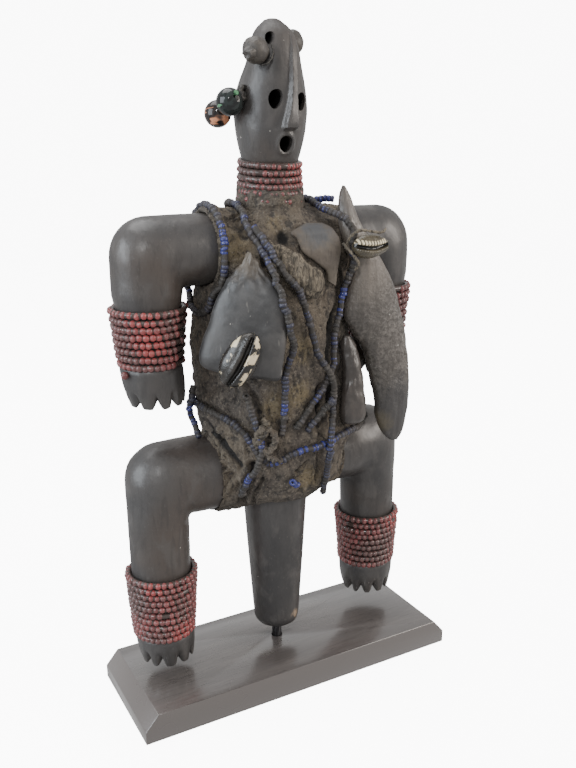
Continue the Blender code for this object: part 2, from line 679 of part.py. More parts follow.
def flowing(points, closed):
    """A smooth path through the guide points, finely divided."""
    path = []
    count = len(points)
    for i in range(count if closed else count - 1):
        a, b, c, d = [Vector(points[k % count] if closed else points[min(max(k, 0), count - 1)])
                      for k in range(i - 1, i + 3)]
        pieces = max(2, round((c - b).length / SAMPLE))
        for k in range(pieces):
            t = k / pieces
            path.append(0.5 * (2 * b + (c - a) * t + (2 * a - 5 * b + 4 * c - d) * t ** 2
                               + (3 * b - a - 3 * c + d) * t ** 3))
    if not closed:
        path.append(Vector(points[-1]))
    return path


def strand(name, guide, lean=0.9, core=None, closed=False, radius=STRAND_BEAD / 2, material=blue_glass):
    """A round cord of beads. lean says how squarely it is pressed on, core is a point that it runs round."""
    path = flowing(guide, closed)
    middles, outs, reach = [], [], []
    for point in path:
        heart = core or (lean * point.x, 4.0 if lean else 0.0, min(max(point.z, CORE_LOW), CORE_HIGH))
        middle = spot(*heart)
        away = spot(*point) - middle
        start = away.length + STRAND_START * UNIT
        out = away.normalized()
        middles.append(middle)
        outs.append(out)
        reach.append(start - travel(middle + out * start, -out, radius + GAP, start - away.length * 0.4))
    reach = drawn_tight(reach, closed)
    step = max(1, round(SEGMENT / SAMPLE))
    picked = list(range(0, len(path), step))
    if not closed and picked[-1] != len(path) - 1:
        picked.append(len(path) - 1)
    curve = bpy.data.curves.new(name, "CURVE")
    curve.dimensions = "3D"
    line = curve.splines.new("POLY")
    line.points.add(len(picked) - 1)
    for point, i in zip(line.points, picked):
        near = [reach[(i + k) % len(path)] for k in (-1, 0, 1) if closed or 0 <= i + k < len(path)]
        point.co = (*(middles[i] + outs[i] * max(near)), 1.0)
    line.use_cyclic_u = closed
    curve.bevel_depth = radius
    curve.bevel_resolution = 1
    curve.use_fill_caps = not closed
    cord = bpy.data.objects.new(name + "_line", curve)
    tools.objects.link(cord)
    mesh = settled_mesh(cord)
    bpy.data.objects.remove(cord, do_unlink=True)
    form = bmesh.new()
    form.from_mesh(mesh)
    bmesh.ops.remove_doubles(form, verts=form.verts, dist=0.01 * MM)
    mesh.materials.clear()
    return remember(keep_form(name, form, material))


WAIST = [(-38, -6, 143), (-34, -17, 141), (-29, -22, 137), (-25, -25, 131), (-22, -26, 125), (-18, -27, 120),
         (-14, -29, 119), (-10, -30, 122), (-3, -31, 124.5), (5, -30, 124.5), (12, -29, 125.5), (20, -26, 127),
         (28, -20, 128), (36, -8, 131), (40, 3, 133), (36, 15, 137), (20, 26, 141), (0, 30, 143),
         (-20, 26, 144), (-34, 14, 144), (-38, 4, 144)]
BELLY_SIDE = [(-26, -24, 153), (-24, -25, 146), (-23, -26, 139), (-21, -27, 133), (-21, -27, 127),
              (-21, -26, 120), (-24, -24, 116), (-25, -23, 112), (-26, -22, 108), (-27, -20, 102)]
SHOULDER_LOOP = [(-30.5, -6, 230), (-30.5, -13, 226), (-30.5, -17, 220), (-31, -18.5, 214), (-31.5, -18.5, 207),
                 (-32, -15, 200), (-32.5, -8, 195), (-32.5, 2, 193), (-32, 11, 196), (-31, 17, 203),
                 (-30, 19.5, 212), (-30, 17, 221), (-30, 9, 228), (-30.5, 1, 231)]
NECK_LOOP = [(-11.8, -30, 132), (-11.2, -30, 137), (-10.4, -30, 145), (-10, -31, 152), (-9.8, -33, 159),
             (-9.0, -33, 167.3), (-9.6, -33, 175), (-12.3, -32, 183.3), (-13.4, -31, 191.5), (-14.2, -30, 198),
             (-16.6, -27, 205), (-18.2, -24, 213), (-19.6, -21, 219), (-20, -16, 226), (-18, -8, 231),
             (-18, 5, 231), (-12, 16, 227), (0, 20, 225), (12, 16, 227), (20, 6, 230), (17, -12, 229.5),
             (20.8, -20, 225), (25, -24, 220.5), (26, -25, 213), (26.2, -25, 204), (25, -25, 197),
             (22.5, -25, 190.5), (22, -26, 184.7), (18.6, -27, 177.5), (16.6, -28, 170.5), (15.8, -29, 162),
             (12.2, -30, 155), (5.4, -31, 148), (-1, -31, 140.5), (-6, -31, 134)]
CHEST_PAIR = [(-19.8, -21, 221), (-15.6, -25, 214.6), (-12.8, -28, 208), (-9.0, -30, 202.6), (-3.8, -31, 196.6),
              (-1.2, -30, 190), (2.0, -29, 183), (4.2, -29, 175.2), (6.8, -30, 166.2), (10.6, -31, 160),
              (13.8, -31, 151.6), (13.6, -30, 143), (13, -30, 135), (11.8, -30, 128), (11.4, -30, 119),
              (12.4, -28, 110), (12.6, -25, 102), (14, -23, 96.5)]
BELLY_PAIR = [(11.5, -30, 147.5), (7.5, -31, 142), (3, -31, 137), (-1, -31, 132.5)]
LEFT_SHOULDER = [(23, 10, 232), (29, 5, 231.5), (35, 0, 230)]
LOOSE_END = [(-7, -29, 110), (-2, -28, 105)]

# The middle of the right shoulder, which one strand runs round
SHOULDER_CORE = (-22, ARM["set_back"], ARM["level"])

# Cowries: the direction each faces, both ends of its long axis, half its width, half its thickness and the
# shift of its slot
POUCH_COWRIE = (-32, (-15.3, 160.0), (-3.4, 182.0), 7.2, 4.4, 0.6)
SHOULDER_COWRIE = (0, (22.6, 213.4), (40.7, 212.2), 5.1, 4.0, 1.4)
SIDE_LOOP = [(-38, 1, 151), (-38.5, -1, 146), (-38.5, 2, 141), (-38.5, 4, 136), (-38.5, 1, 131), (-38, -1, 127)]

make_plinth()
upright_pin("support_rod", ROD_RADIUS, ROD_FOOT, ROD_TOP, rod_steel)
figure = make_figure()
for ball_name, (ball_centre, ball_aim) in BROW_BALLS.items():
    make_brow_ball(ball_name, ball_centre, ball_aim, figure)
for bead_name, (bead_centre, bead_glass) in EAR_BEADS.items():
    ball(bead_name, spot(*bead_centre), [EAR_BEAD_RADIUS] * 3, bead_glass, sides=BALL_SIDES)
remember(make_cuffs())
remember(make_wrap())
strand("waist_bead_strand", WAIST, lean=0.0, closed=True)
strand("right_belly_bead_strand", BELLY_SIDE, lean=0.5)
strand("right_side_bead_strand", SIDE_LOOP, lean=0.0)
strand("loose_bead_end", LOOSE_END)
strand("right_shoulder_bead_strand", SHOULDER_LOOP, core=SHOULDER_CORE, closed=True)
remember(figure)
remember(charm("crusted_packet", -5, PACKET_ROWS, crust, sides=10)[0])
remember(charm("hide_tab", 0, TAB_ROWS, hide, sides=8, lift=0.5)[0])
remember(charm("inner_pod", 0, INNER_POD_ROWS, pod_skin, sides=10, lift=0.5)[0])
remember(charm("shoulder_pod", 0, POD_ROWS, pod_skin, least=(15.0, 24.5), lift=0.6)[0])
remember(charm("chest_pouch", -32, POUCH_ROWS, hide)[0])
strand("neck_bead_strand", NECK_LOOP)
strand("chest_bead_strand", CHEST_PAIR)
strand("belly_bead_strand", BELLY_PAIR)
strand("left_shoulder_bead_strand", LEFT_SHOULDER)
make_cowrie("pouch_cowrie", *POUCH_COWRIE)
make_cowrie("shoulder_cowrie", *SHOULDER_COWRIE)
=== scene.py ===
"""A carved power figure raised on a rod over a bevelled plinth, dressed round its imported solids.

Metres, +Z up. The figure faces -Y and its right side is at -X. spot() turns millimetres of the figure's own
drawing, across, behind the axis and above the plinth's underside, into places in the scene.
"""
import math

import bmesh
import bpy
import numpy as np
from mathutils import Matrix, Vector, noise
from mathutils.bvhtree import BVHTree


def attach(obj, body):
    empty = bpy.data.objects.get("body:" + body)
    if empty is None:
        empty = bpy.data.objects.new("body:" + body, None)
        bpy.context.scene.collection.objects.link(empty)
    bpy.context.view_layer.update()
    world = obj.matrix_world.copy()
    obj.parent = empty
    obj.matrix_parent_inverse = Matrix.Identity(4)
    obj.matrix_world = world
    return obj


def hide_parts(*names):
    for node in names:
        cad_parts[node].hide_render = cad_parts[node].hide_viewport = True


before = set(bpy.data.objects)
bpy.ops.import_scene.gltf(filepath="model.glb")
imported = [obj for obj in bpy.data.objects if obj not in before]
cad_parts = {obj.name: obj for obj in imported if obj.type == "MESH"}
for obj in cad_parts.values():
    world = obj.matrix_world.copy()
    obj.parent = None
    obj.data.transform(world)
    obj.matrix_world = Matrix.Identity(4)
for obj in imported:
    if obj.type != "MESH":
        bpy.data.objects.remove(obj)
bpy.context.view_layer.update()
MM = 0.001

# The studio: a pale floor under soft light, a cool window on the figure's right and a
# warmer one on its left, and the camera a little above the shoulders, to the figure's right
CAMERA_AZIMUTH, CAMERA_RISE, CAMERA_ROLL = math.radians(-28.524), math.radians(16.207), math.radians(-0.589)
CAMERA_AIM = Vector((6.435, 0, 146.36)) * MM
CAMERA_REACH = 398.64 * MM
SENSOR = 36.0
# The focal length and the height of the photograph, both in pixels
FOCAL_PIXELS, HEIGHT_PIXELS = 844.95, 768
LENS = FOCAL_PIXELS / HEIGHT_PIXELS * SENSOR
ROOM_RADIUS = 2.4
ROOM_WALL = 2.6
ROOM_BEND = 0.7

toward = Vector((math.sin(CAMERA_AZIMUTH) * math.cos(CAMERA_RISE),
                 -math.cos(CAMERA_AZIMUTH) * math.cos(CAMERA_RISE), math.sin(CAMERA_RISE)))
level = Vector((math.cos(CAMERA_AZIMUTH), math.sin(CAMERA_AZIMUTH), 0))
upright = toward.cross(level)
image_x = level * math.cos(CAMERA_ROLL) + upright * math.sin(CAMERA_ROLL)
image_y = upright * math.cos(CAMERA_ROLL) - level * math.sin(CAMERA_ROLL)
camera_data = bpy.data.cameras.new("studio_camera")
camera_data.sensor_width = SENSOR
camera_data.lens = LENS
camera_data.clip_start = 0.01
camera = bpy.data.objects.new("studio_camera", camera_data)
camera.matrix_world = Matrix.Translation(CAMERA_AIM + toward * CAMERA_REACH) @ Matrix(
    (image_x, image_y, toward)).transposed().to_4x4()
bpy.context.scene.collection.objects.link(camera)
bpy.context.scene.camera = camera


def soft_box(name, place, size, power, colour, gloss=1.0):
    """A square lamp that faces the figure's chest."""
    lamp = bpy.data.lights.new(name, "AREA")
    lamp.size = size
    lamp.energy = power
    lamp.color = colour
    lamp.specular_factor = gloss
    stand = bpy.data.objects.new(name, lamp)
    stand.location = place
    stand.rotation_euler = (Vector((0, 0, 0.16)) - Vector(place)).to_track_quat("-Z", "Y").to_euler()
    bpy.context.scene.collection.objects.link(stand)


soft_box("cool_window", (-1.25, 0.05, 0.55), 0.9, 19.5, (0.86, 0.93, 1.0), 0.6)
soft_box("warm_window", (0.95, -0.75, 0.6), 0.7, 13.5, (1.0, 0.92, 0.84), 0.4)
soft_box("overhead", (-0.15, 0.35, 1.4), 0.9, 12.5, (1.0, 1.0, 1.0), 0.12)
soft_box("small_flash", (-0.75, -1.1, 1.0), 0.09, 6.0, (1.0, 1.0, 1.0))
sky = bpy.data.worlds.new("white_room")
sky.use_nodes = True
sky.node_tree.nodes["Background"].inputs["Color"].default_value = (1.0, 1.0, 1.0, 1.0)
sky.node_tree.nodes["Background"].inputs["Strength"].default_value = 0.78
bpy.context.scene.world = sky


def finish_of(name, roughness=0.5, metallic=0.0):
    """A new material: itself, its node tree, its shader and the point that its patterns are read at."""
    made = bpy.data.materials.new(name)
    made.use_nodes = True
    tree = made.node_tree
    shader = tree.nodes["Principled BSDF"]
    shader.inputs["Roughness"].default_value = roughness
    shader.inputs["Metallic"].default_value = metallic
    return made, tree, shader, tree.nodes.new("ShaderNodeTexCoord").outputs["Object"]


def plain_mesh(name, points, faces):
    """A mesh object with its faces pointing out."""
    mesh = bpy.data.meshes.new(name)
    mesh.from_pydata([tuple(p) for p in points], [], faces)
    form = bmesh.new()
    form.from_mesh(mesh)
    bmesh.ops.remove_doubles(form, verts=form.verts, dist=0.01 * MM)
    bmesh.ops.recalc_face_normals(form, faces=form.faces)
    form.to_mesh(mesh)
    form.free()
    made = bpy.data.objects.new(name, mesh)
    bpy.context.scene.collection.objects.link(made)
    return made


# The room's floor bends up into a round wall. It glows by
# itself, and sends none of its light on to the object
outline = [(0.001, 0.0), (0.3, 0.0), (0.8, 0.0), (ROOM_RADIUS - ROOM_BEND, 0.0)]
outline += [(ROOM_RADIUS - ROOM_BEND * (1 - math.sin(a)), ROOM_BEND * (1 - math.cos(a)))
            for a in np.linspace(0, math.pi / 2, 9)[1:]]
outline += [(ROOM_RADIUS, ROOM_WALL)]
ROOM_SIDES = 64
room_points = [(r * math.cos(2 * math.pi * k / ROOM_SIDES), r * math.sin(2 * math.pi * k / ROOM_SIDES), z)
               for r, z in outline for k in range(ROOM_SIDES)]
room_faces = [(r * ROOM_SIDES + k, r * ROOM_SIDES + (k + 1) % ROOM_SIDES,
               (r + 1) * ROOM_SIDES + (k + 1) % ROOM_SIDES, (r + 1) * ROOM_SIDES + k)
               for r in range(len(outline) - 1) for k in range(ROOM_SIDES)]
room = plain_mesh("studio_floor", room_points, room_faces + [tuple(range(ROOM_SIDES))])
room.data.shade_smooth()
room.visible_diffuse = False
room.visible_glossy = False
room.visible_shadow = False
room_paper, _, paper_shader, _ = finish_of("white_paper", 0.8)
paper_shader.inputs["Base Color"].default_value = (0.9, 0.9, 0.9, 1)
paper_shader.inputs["Emission Color"].default_value = (1, 1, 1, 1)
paper_shader.inputs["Emission Strength"].default_value = 9.0
room.data.materials.append(room_paper)


# Plinth: one planed board of hardwood, 165 x 58 x 13.5 mm, stained dark and
# waxed to a satin sheen. Both short ends are bevelled from above, its edges
# are just taken off with paper, and a hole in the middle holds the rod
def speckle(tree, place, per_metre, detail=3.0, rough=0.55, stretch=(1, 1, 1), twist=0.0):
    """A noise pattern with this many cells to the metre, squeezed by stretch."""
    spread = tree.nodes.new("ShaderNodeMapping")
    spread.inputs["Scale"].default_value = stretch
    tree.links.new(place, spread.inputs["Vector"])
    cloud = tree.nodes.new("ShaderNodeTexNoise")
    cloud.inputs["Scale"].default_value = per_metre
    cloud.inputs["Detail"].default_value = detail
    cloud.inputs["Roughness"].default_value = rough
    cloud.inputs["Distortion"].default_value = twist
    tree.links.new(spread.outputs["Vector"], cloud.inputs["Vector"])
    return cloud.outputs["Fac"]


def ranged(tree, value, low, high, to_low=0.0, to_high=1.0):
    """A value spread between two levels and held there, eased at both ends."""
    span = tree.nodes.new("ShaderNodeMapRange")
    span.interpolation_type = "SMOOTHSTEP"
    for socket, number in (("From Min", low), ("From Max", high), ("To Min", to_low), ("To Max", to_high)):
        span.inputs[socket].default_value = number
    tree.links.new(value, span.inputs["Value"])
    return span.outputs["Result"]


def tint(tree, share, under, over):
    """Colour under, with over laid on it by share. Either may be a colour or a socket."""
    mix = tree.nodes.new("ShaderNodeMix")
    mix.data_type = "RGBA"
    for socket, value in ((mix.inputs[0], share), (mix.inputs[6], under), (mix.inputs[7], over)):
        if isinstance(value, bpy.types.NodeSocket):
            tree.links.new(value, socket)
        elif isinstance(value, tuple):
            socket.default_value = (*value, 1.0)
        else:
            socket.default_value = value
    return mix.outputs[2]


def coats(tree, first, *layers):
    """A colour with coats laid over it in turn, each given as its share and its colour."""
    for share, over in layers:
        first = tint(tree, share, first, over)
    return first


def paint(tree, shader, colour, roughness=None):
    """Lead the colour into the shader, and the roughness too where it varies."""
    tree.links.new(colour, shader.inputs["Base Color"])
    if roughness:
        tree.links.new(roughness, shader.inputs["Roughness"])


def reckon(tree, way, first, second):
    """Two values put together by a sum, product or the like."""
    sum_node = tree.nodes.new("ShaderNodeMath")
    sum_node.operation = way
    for socket, value in zip(sum_node.inputs, (first, second)):
        if isinstance(value, bpy.types.NodeSocket):
            tree.links.new(value, socket)
        else:
            socket.default_value = value
    return sum_node.outputs[0]


def relief(tree, shader, heights):
    """Bump the surface by each (value, millimetres) in turn."""
    before = None
    for value, depth in heights:
        bump = tree.nodes.new("ShaderNodeBump")
        bump.inputs["Distance"].default_value = depth * MM
        tree.links.new(value, bump.inputs["Height"])
        if before:
            tree.links.new(before, bump.inputs["Normal"])
        before = bump.outputs["Normal"]
    tree.links.new(before, shader.inputs["Normal"])


PLINTH_HALF_LENGTH = 82.5
PLINTH_HALF_DEPTH = 29.2
PLINTH_EDGE, PLINTH_TOP, PLINTH_BEVEL = 6.4, 13.5, 6.1

stained_board, tree, shader, here = finish_of("stained_board", 0.3)
streak = speckle(tree, here, 60, 5, 0.6, (0.25, 2.2, 2.2), 0.6)
pores = speckle(tree, here, 900, 2, 0.5, (0.12, 1.6, 1.6))
haze = speckle(tree, here, 22, 4, 0.6)
slope = tree.nodes.new("ShaderNodeSeparateXYZ")
tree.links.new(tree.nodes.new("ShaderNodeNewGeometry").outputs["Normal"], slope.inputs[0])
board_colour = coats(
    tree, (0.072, 0.063, 0.059),
    (ranged(tree, streak, 0.32, 0.7), (0.103, 0.091, 0.085)),
    (ranged(tree, pores, 0.56, 0.72, 0.0, 0.45), (0.03, 0.026, 0.025)),
    # Painted light: every face that does not look upward gets one even warmer brown in place of the streaks,
    # the tone the sides take under the lamps
    (ranged(tree, slope.outputs["Z"], 0.95, 0.85), (0.078, 0.065, 0.059)))
paint(tree, shader, board_colour, ranged(tree, haze, 0.3, 0.7, 0.24, 0.36))
relief(tree, shader, [(pores, 0.03), (streak, 0.06)])
shader.inputs["Coat Weight"].default_value = 1.0
shader.inputs["Coat Roughness"].default_value = 0.2
shader.inputs["Coat IOR"].default_value = 1.72

end_view = [(-PLINTH_HALF_LENGTH, 0), (PLINTH_HALF_LENGTH, 0), (PLINTH_HALF_LENGTH, PLINTH_EDGE),
            (PLINTH_HALF_LENGTH - PLINTH_BEVEL, PLINTH_TOP), (-PLINTH_HALF_LENGTH + PLINTH_BEVEL, PLINTH_TOP),
            (-PLINTH_HALF_LENGTH, PLINTH_EDGE)]
corners = [Vector((x, y, z)) * MM for y in (-PLINTH_HALF_DEPTH, PLINTH_HALF_DEPTH) for x, z in end_view]
plinth = plain_mesh("waxed_plinth", corners, [tuple(range(6)), tuple(range(11, 5, -1))] + [
    (i, (i + 1) % 6, (i + 1) % 6 + 6, i + 6) for i in range(6)])


# The rod's radius and the heights of its ends, and the room left round it in each hole
ROD_RADIUS = 2.4
ROD_FOOT, ROD_TIP = 4.5, 47.4
ROD_ROOM = 0.3


def turned_bar(name, radius, low, high, sides=40):
    """An upright bar on the figure's axis, radius and heights in millimetres."""
    rim = [(math.cos(2 * math.pi * k / sides), math.sin(2 * math.pi * k / sides)) for k in range(sides)]
    around = [spot(x * radius, y * radius, z) for z in (low, high) for x, y in rim]
    sheets = [(k, (k + 1) % sides, (k + 1) % sides + sides, k + sides) for k in range(sides)]
    return plain_mesh(name, around, sheets + [tuple(range(sides)), tuple(range(sides, 2 * sides))])


# The figure's axis stands this far across and behind the middle of the plinth
AXIS = Vector((-0.5, 2.0, 0))


def spot(across, back, height):
    """A place of the figure's drawing in the scene."""
    return Vector((across + AXIS.x, back + AXIS.y, height)) * MM


def drawing_of(place):
    """A place in the scene, back in millimetres of the drawing."""
    return place / MM - AXIS


def cut_by(piece, tools, operation="DIFFERENCE"):
    """Cut the piece by each tool or join it to them, keep the result as its mesh and throw the tools away."""
    for tool in tools:
        step = piece.modifiers.new("cut", "BOOLEAN")
        step.operation = operation
        step.solver = "EXACT"
        step.object = tool
    settle(piece)
    for tool in tools:
        bpy.data.objects.remove(tool, do_unlink=True)


def settle(piece):
    """Turn what the modifiers make into the piece's own plain mesh."""
    graph = bpy.context.evaluated_depsgraph_get()
    mesh = bpy.data.meshes.new_from_object(piece.evaluated_get(graph), depsgraph=graph)
    piece.modifiers.clear()
    old = piece.data
    piece.data = mesh
    if old.users == 0:
        bpy.data.meshes.remove(old)
    return piece


def smooth_under(piece, degrees):
    """Shade a piece smooth, with hard edges where it turns by more than these degrees."""
    piece.data.shade_smooth()
    piece.data.set_sharp_from_angle(angle=math.radians(degrees))


def dress(piece, material, nodes=()):
    """Give a finished piece its material and its body, and hide the solids it stands for."""
    piece.data.materials.clear()
    piece.data.materials.append(material)
    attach(piece, "root")
    if nodes:
        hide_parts(*nodes)
    return piece


cut_by(plinth, [turned_bar("rod_hole", ROD_RADIUS + ROD_ROOM, ROD_FOOT - ROD_ROOM, 20)])
edge = plinth.modifiers.new("eased", "BEVEL")
edge.width = 0.35 * MM
edge.segments = 2
edge.limit_method = "ANGLE"
settle(plinth)
smooth_under(plinth, 40)
dress(plinth, stained_board, ["plinth"])

# Rod: a round steel bar, 4.8 mm thick, let into the plinth
# and up into the peg. It is blackened, and dull from hands
blackened, tree, shader, here = finish_of("blackened_steel", 0.35, 0.85)
scuff = speckle(tree, here, 700, 3, 0.6, (1, 1, 0.2))
paint(tree, shader, tint(tree, ranged(tree, scuff, 0.4, 0.7), (0.03, 0.03, 0.033), (0.10, 0.10, 0.105)),
      ranged(tree, scuff, 0.3, 0.7, 0.3, 0.5))
rod = turned_bar("steel_rod", ROD_RADIUS, ROD_FOOT, ROD_TIP)
smooth_under(rod, 40)
dress(rod, blackened, ["support_rod"])

# Carved figure: one piece of dense hardwood with head, arms, legs and a peg
# between the legs, cut with a knife, scraped nearly smooth, then oiled and
# handled until it is dark and half glossy. It sits with its peg on the rod
RIGHT, LEFT = -1, 1
FINE_SIDES = 132
PEG_ROWS = [(23.4, 9.6, 9.4, 0), (25.6, 11.2, 11.0, 0), (34, 11.9, 11.6, 0), (59, 13.5, 13.1, 0),
            (86, 15.2, 14.6, 0)]
TORSO_ROWS = [(94, 15.9, 15.2, 0), (99, 26, 18.5, 0), (106, 31, 22, 0), (130, 32, 24, 0), (170, 31.5, 24, 0),
              (205, 31, 22, 0), (221, 24, 18, 0), (228.5, 14, 13.6, 0)]
HEAD_ROWS = [(231, 12.3, 12.3, 0), (246.8, 11.7, 11.9, 0), (248.6, 12.3, 12.7, 0.6), (253.3, 13.4, 14.1, 0.8),
             (260.3, 14.6, 15.5, 1), (268.5, 15.5, 16.3, 1), (275, 14.9, 15.9, 1.4), (281.3, 13.2, 14.5, 2.9),
             (288.2, 11.2, 12.1, 4.8), (293.7, 10.3, 10.9, 5.2), (299.3, 8.5, 9.1, 4.9), (303, 5.7, 6.2, 4.3),
             (305.2, 2.0, 2.2, 4)]


def skin(name, rings):
    """A closed form over rings of equal count, with both ends capped."""
    count = len(rings[0])
    points = [p for ring in rings for p in ring]
    faces = []
    for r in range(len(rings) - 1):
        for k in range(count):
            j = (k + 1) % count
            faces.append((r * count + k, r * count + j, (r + 1) * count + j, (r + 1) * count + k))
    faces.append(tuple(range(count)))
    faces.append(tuple(range(len(points) - count, len(points))))
    return plain_mesh(name, points, faces)


def row_at(rows, height, ease):
    """Sizes at a height, read between the rows and averaged over a stretch, so no row shows as a ring."""
    table = np.array(rows, float)
    levels = np.linspace(height - ease, height + ease, 7)
    levels = np.clip(levels, table[0, 0], table[-1, 0])
    return [float(np.interp(levels, table[:, 0], table[:, i]).mean()) for i in range(1, table.shape[1])]


def bell(value, width):
    """One at nought, falling away to nothing beyond about twice the width."""
    return math.exp(-(value / width) ** 2)


def held(value):
    """A value held between nought and one."""
    return min(max(value, 0.0), 1.0)


# The nose by height: its middle across, half its width and how far it stands out of the face
NOSE = [(261.0, 1.2, 3.4, 0.0), (261.9, 1.2, 3.4, 3.0), (263.2, 1.2, 3.3, 3.3), (266.3, 1.4, 2.7, 3.1),
        (271.6, 2.1, 2.0, 2.6), (278.7, 2.7, 1.75, 2.0), (288.6, 3.2, 1.7, 1.5), (297.4, 4.5, 1.5, 1.0),
        (300.5, 4.7, 1.3, 0.0)]
MOUTH = (-0.1, 255.4, 3.0, 3.4)
EYES = [(-5.1, 273.2, 2.9, 3.9), (7.5, 272.3, 2.7, 3.7)]
BROW_HOLE = (-5.6, 296.8, 1.6, 2.6)
FACE_EDGE = 11.2


def face_relief(across, height):
    """How far the face stands out here, in millimetres: nose, face edges, eye hollows and the mouth's rim."""
    out = 0.0
    if NOSE[0][0] < height < NOSE[-1][0]:
        table = np.array(NOSE)
        middle, half, rise = [float(np.interp(height, table[:, 0], table[:, i])) for i in (1, 2, 3)]
        side = held((half + 0.45 - abs(across - middle)) / 0.95)
        out += rise * side * side * (3 - 2 * side)
        out -= 0.3 * bell(abs(across - middle) - half - 2.0, 1.6) * held(rise - 1.5)
    ring = math.hypot((across - MOUTH[0]) / (MOUTH[2] + 0.8), (height - MOUTH[1]) / (MOUTH[3] + 0.8))
    out += 0.7 * bell(ring - 1.0, 0.17)
    for eye in EYES:
        ring = math.hypot((across - eye[0]) / eye[2], (height - eye[1]) / eye[3])
        out -= 0.45 * bell(ring, 1.5)
    level_share = held((height - 250) / 6) * held((288 - height) / 8)
    out += 0.22 * level_share * bell(across + FACE_EDGE, 1.8)
    return out


def head_rings():
    """The neck and head, finer at the front, where the face is."""
    rings = []
    height = HEAD_ROWS[0][0]
    while height < HEAD_ROWS[-1][0]:
        wide, deep, forward = row_at(HEAD_ROWS, height, 1.0 if height < 250 else 1.6)
        square = 2.0 + 0.16 * held((height - 247) / 10) * held((300 - height) / 20)
        ring = []
        for k in range(FINE_SIDES):
            turn = 2 * math.pi * k / FINE_SIDES
            turn -= 0.45 * math.cos(turn)
            c, s = math.cos(turn), math.sin(turn)
            reach = (abs(c) ** square + abs(s) ** square) ** (-1 / square)
            x, y = wide * reach * c, deep * reach * s
            if s < 0:
                y -= face_relief(x, height) * min(1.0, -s * 2.2)
            knife = 0.16 * noise.noise(Vector((c * 2.2, s * 2.2, height * 0.05)) + Vector((3, 1, 7)))
            knife += 0.08 * noise.noise(Vector((c * 6, s * 6, height * 0.14)))
            ring.append(spot(x * (1 + knife / wide), -forward + y * (1 + knife / deep), height))
        rings.append(ring)
        height += 0.75 if height > 249 else 1.4
    wide, deep, forward = HEAD_ROWS[-1][1:]
    rings.append([spot(wide * math.cos(2 * math.pi * k / FINE_SIDES), -forward + deep * math.sin(
        2 * math.pi * k / FINE_SIDES), HEAD_ROWS[-1][0]) for k in range(FINE_SIDES)])
    return rings


def trunk_rings(rows, sides, step, ease):
    """Rings of the peg or the hidden trunk, slightly faceted by the knife."""
    rings = []
    height = rows[0][0]
    while height < rows[-1][0] + step / 2:
        wide, deep, forward = row_at(rows, min(height, rows[-1][0]), ease if rows[0][0] + 2 < height else 0.0)
        ring = []
        for k in range(sides):
            turn = 2 * math.pi * k / sides
            cut = 0.22 * noise.noise(Vector((math.cos(turn) * 2.5, math.sin(turn) * 2.5, height * 0.02)))
            cut += 0.10 * math.cos(7 * turn + height * 0.03)
            ring.append(spot((wide + cut) * math.cos(turn), -forward + (deep + cut) * math.sin(turn), height))
        rings.append(ring)
        height += step
    return rings


LIMB_OUT = 58.8
ARM_OUT = {RIGHT: LIMB_OUT, LEFT: 57.6}
CROOK = 1.5
ARM = dict(level=212.0, level_half=15.4, post=15.0, corner=16.5,
           column=[(194, 14.8), (189, 13.9), (166, 11.9), (164, 13.9), (156, 13.5), (150, 12.6),
                   (147.2, 11.7)])
LEG = dict(level_half=17.8, post=14.1, corner=16.5)
LEG_LEVEL = {RIGHT: 109.0, LEFT: 107.5}
LEG_COLUMN = {RIGHT: [(88, 14.1), (66, 13.8), (35, 11.9), (33.2, 13.8), (28, 13.5), (23, 12.8), (20.2, 12.1)],
              LEFT: [(87, 14.2), (68, 14.0), (41, 12.0), (39.2, 14.3), (33, 14.0), (26.5, 13.0),
                     (23.4, 12.2)]}
SET_BACK = {"arm": {RIGHT: 1.0, LEFT: 1.0}, "leg": {RIGHT: 3.0, LEFT: 7.5}}
# Where the notches between fingers and toes lie, in degrees from the front, and how the hand's end is shifted
NOTCHES = {"right_arm": (-61, -19, 17, 55), "right_leg": (-64, -33, 6, 42), "left_arm": (-60, -22, 15, 55),
           "left_leg": (-72, -44, -12, 22)}
NOTCH_RISE = 4.0
NOTCH_TOP = 8.0
END_SHIFT = {"right_arm": (1.6, -0.9), "right_leg": (0.8, -0.4)}
SHIFT_TOP = 17


def bend_reach(angle, width, height, corner):
    """From the crook to the outside of the bend, which is a box with one rounded corner."""
    ahead, up = math.cos(angle), math.sin(angle)
    middle_x, middle_z = width - corner, height - corner
    if ahead > 0 and width * up / max(ahead, 1e-9) <= middle_z:
        return width / ahead
    if up > 0 and height * ahead / max(up, 1e-9) <= middle_x:
        return height / up
    along = ahead * middle_x + up * middle_z
    return along + math.sqrt(max(along * along - middle_x ** 2 - middle_z ** 2 + corner ** 2, 0.0))


